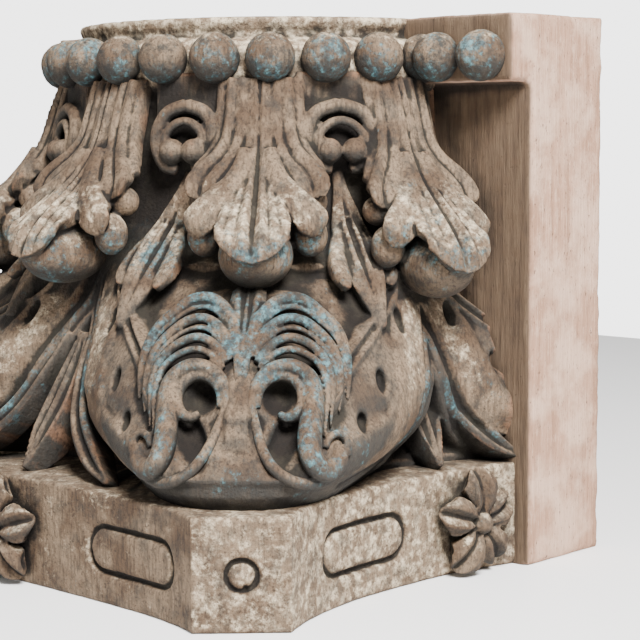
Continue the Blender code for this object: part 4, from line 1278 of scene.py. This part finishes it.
# 1 on the front face of the board, where the raw wood turns darker brown
def boardFront(points, normals):
    return step(0.3, 0.8, -normals[:, 1])


paints = {
    "bellCarving": ("carving", carvingTeal, carvingCreamAndLighting, None),
    "scrolls": ("scrolls", scrollTeal, facingUp(0.9, -0.7), None),
    "rosettes": ("carving", carvingTeal, facingUp(), None),
    "board": ("board", even(0.0), even(0.0), boardFront),
    "abacus": ("abacus", even(0.0), abacusCreamAndLighting, None),
    "rim": ("rim", even(0.0), facingUp(), None),
    "beads": ("beads", even(0.6), facingUp(shift=-0.4), None),
}
for key, piece in pieces.items():
    finish, tealOf, creamAndLightingOf, frontOf = paints[key]
    piece.data.materials.clear()
    piece.data.materials.append(materials[finish])
    piece.data.shade_smooth()
    paintPiece(piece, shadeTree, tealOf, creamAndLightingOf, frontOf)
    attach(piece, "root")
    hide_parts("capital")
print("pieces painted")

# Camera, light and floor

view = {"lens": 102.67, "sensor": 36, "place": (1.0439, -1.0536, 0.316), "heading": 43.494,
        "pitch": -5.843, "roll": -0.361}
backdrop = {"lights": 0.52, "seen": 3.8}


def makeCamera():
    heading, pitch, roll = (math.radians(view[key]) for key in ("heading", "pitch", "roll"))
    right = Vector((math.cos(heading), math.sin(heading), 0))
    level = Vector((-math.sin(heading), math.cos(heading), 0))
    forward = level * math.cos(pitch) + Vector((0, 0, math.sin(pitch)))
    up = right.cross(forward)
    tilted = right * math.cos(roll) + up * math.sin(roll)
    upright = up * math.cos(roll) - right * math.sin(roll)
    camera = bpy.data.objects.new("photo_camera", bpy.data.cameras.new("photo_camera"))
    camera.data.lens = view["lens"]
    camera.data.sensor_width = view["sensor"]
    place = Matrix((tilted, upright, -forward)).transposed().to_4x4()
    place.translation = Vector(view["place"])
    camera.matrix_world = place
    bpy.context.scene.collection.objects.link(camera)
    bpy.context.scene.camera = camera


makeCamera()
world = bpy.data.worlds.new("studio")
bpy.context.scene.world = world
world.use_nodes = True
sky = world.node_tree.nodes["Background"]
sky.inputs["Color"].default_value = (1, 0.995, 0.99, 1)
# the backdrop is seen brighter than it lights
seen = addNode(world.node_tree, "ShaderNodeLightPath").outputs["Is Camera Ray"]
strength = addNode(world.node_tree, "ShaderNodeMapRange", {"Value": seen, "To Min": backdrop["lights"],
                                                           "To Max": backdrop["seen"]}).outputs[0]
world.node_tree.links.new(strength, sky.inputs["Strength"])


def areaLight(name, place, target, size, power):
    light = bpy.data.lights.new(name, "AREA")
    light.energy = power
    light.size = size
    made = bpy.data.objects.new(name, light)
    made.location = place
    made.rotation_euler = (Vector(target) - Vector(place)).to_track_quat("-Z", "Y").to_euler()
    bpy.context.scene.collection.objects.link(made)


areaLight("key_light", (1.5, -0.9, 1.7), (0.1, -0.1, 0.2), 0.8, 215)
areaLight("fill_light", (-1.2, -1.8, 0.9), (0, -0.1, 0.2), 1.2, 8)

bpy.ops.mesh.primitive_plane_add(size=2.6, location=(0, 0, floorLevel))
floor = bpy.context.object
floor.name = "floor"
paper = bpy.data.materials.new("floor_paper")
paper.use_nodes = True
paper.node_tree.nodes["Principled BSDF"].inputs["Base Color"].default_value = (0.92, 0.91, 0.90, 1)
floor.data.materials.append(paper)
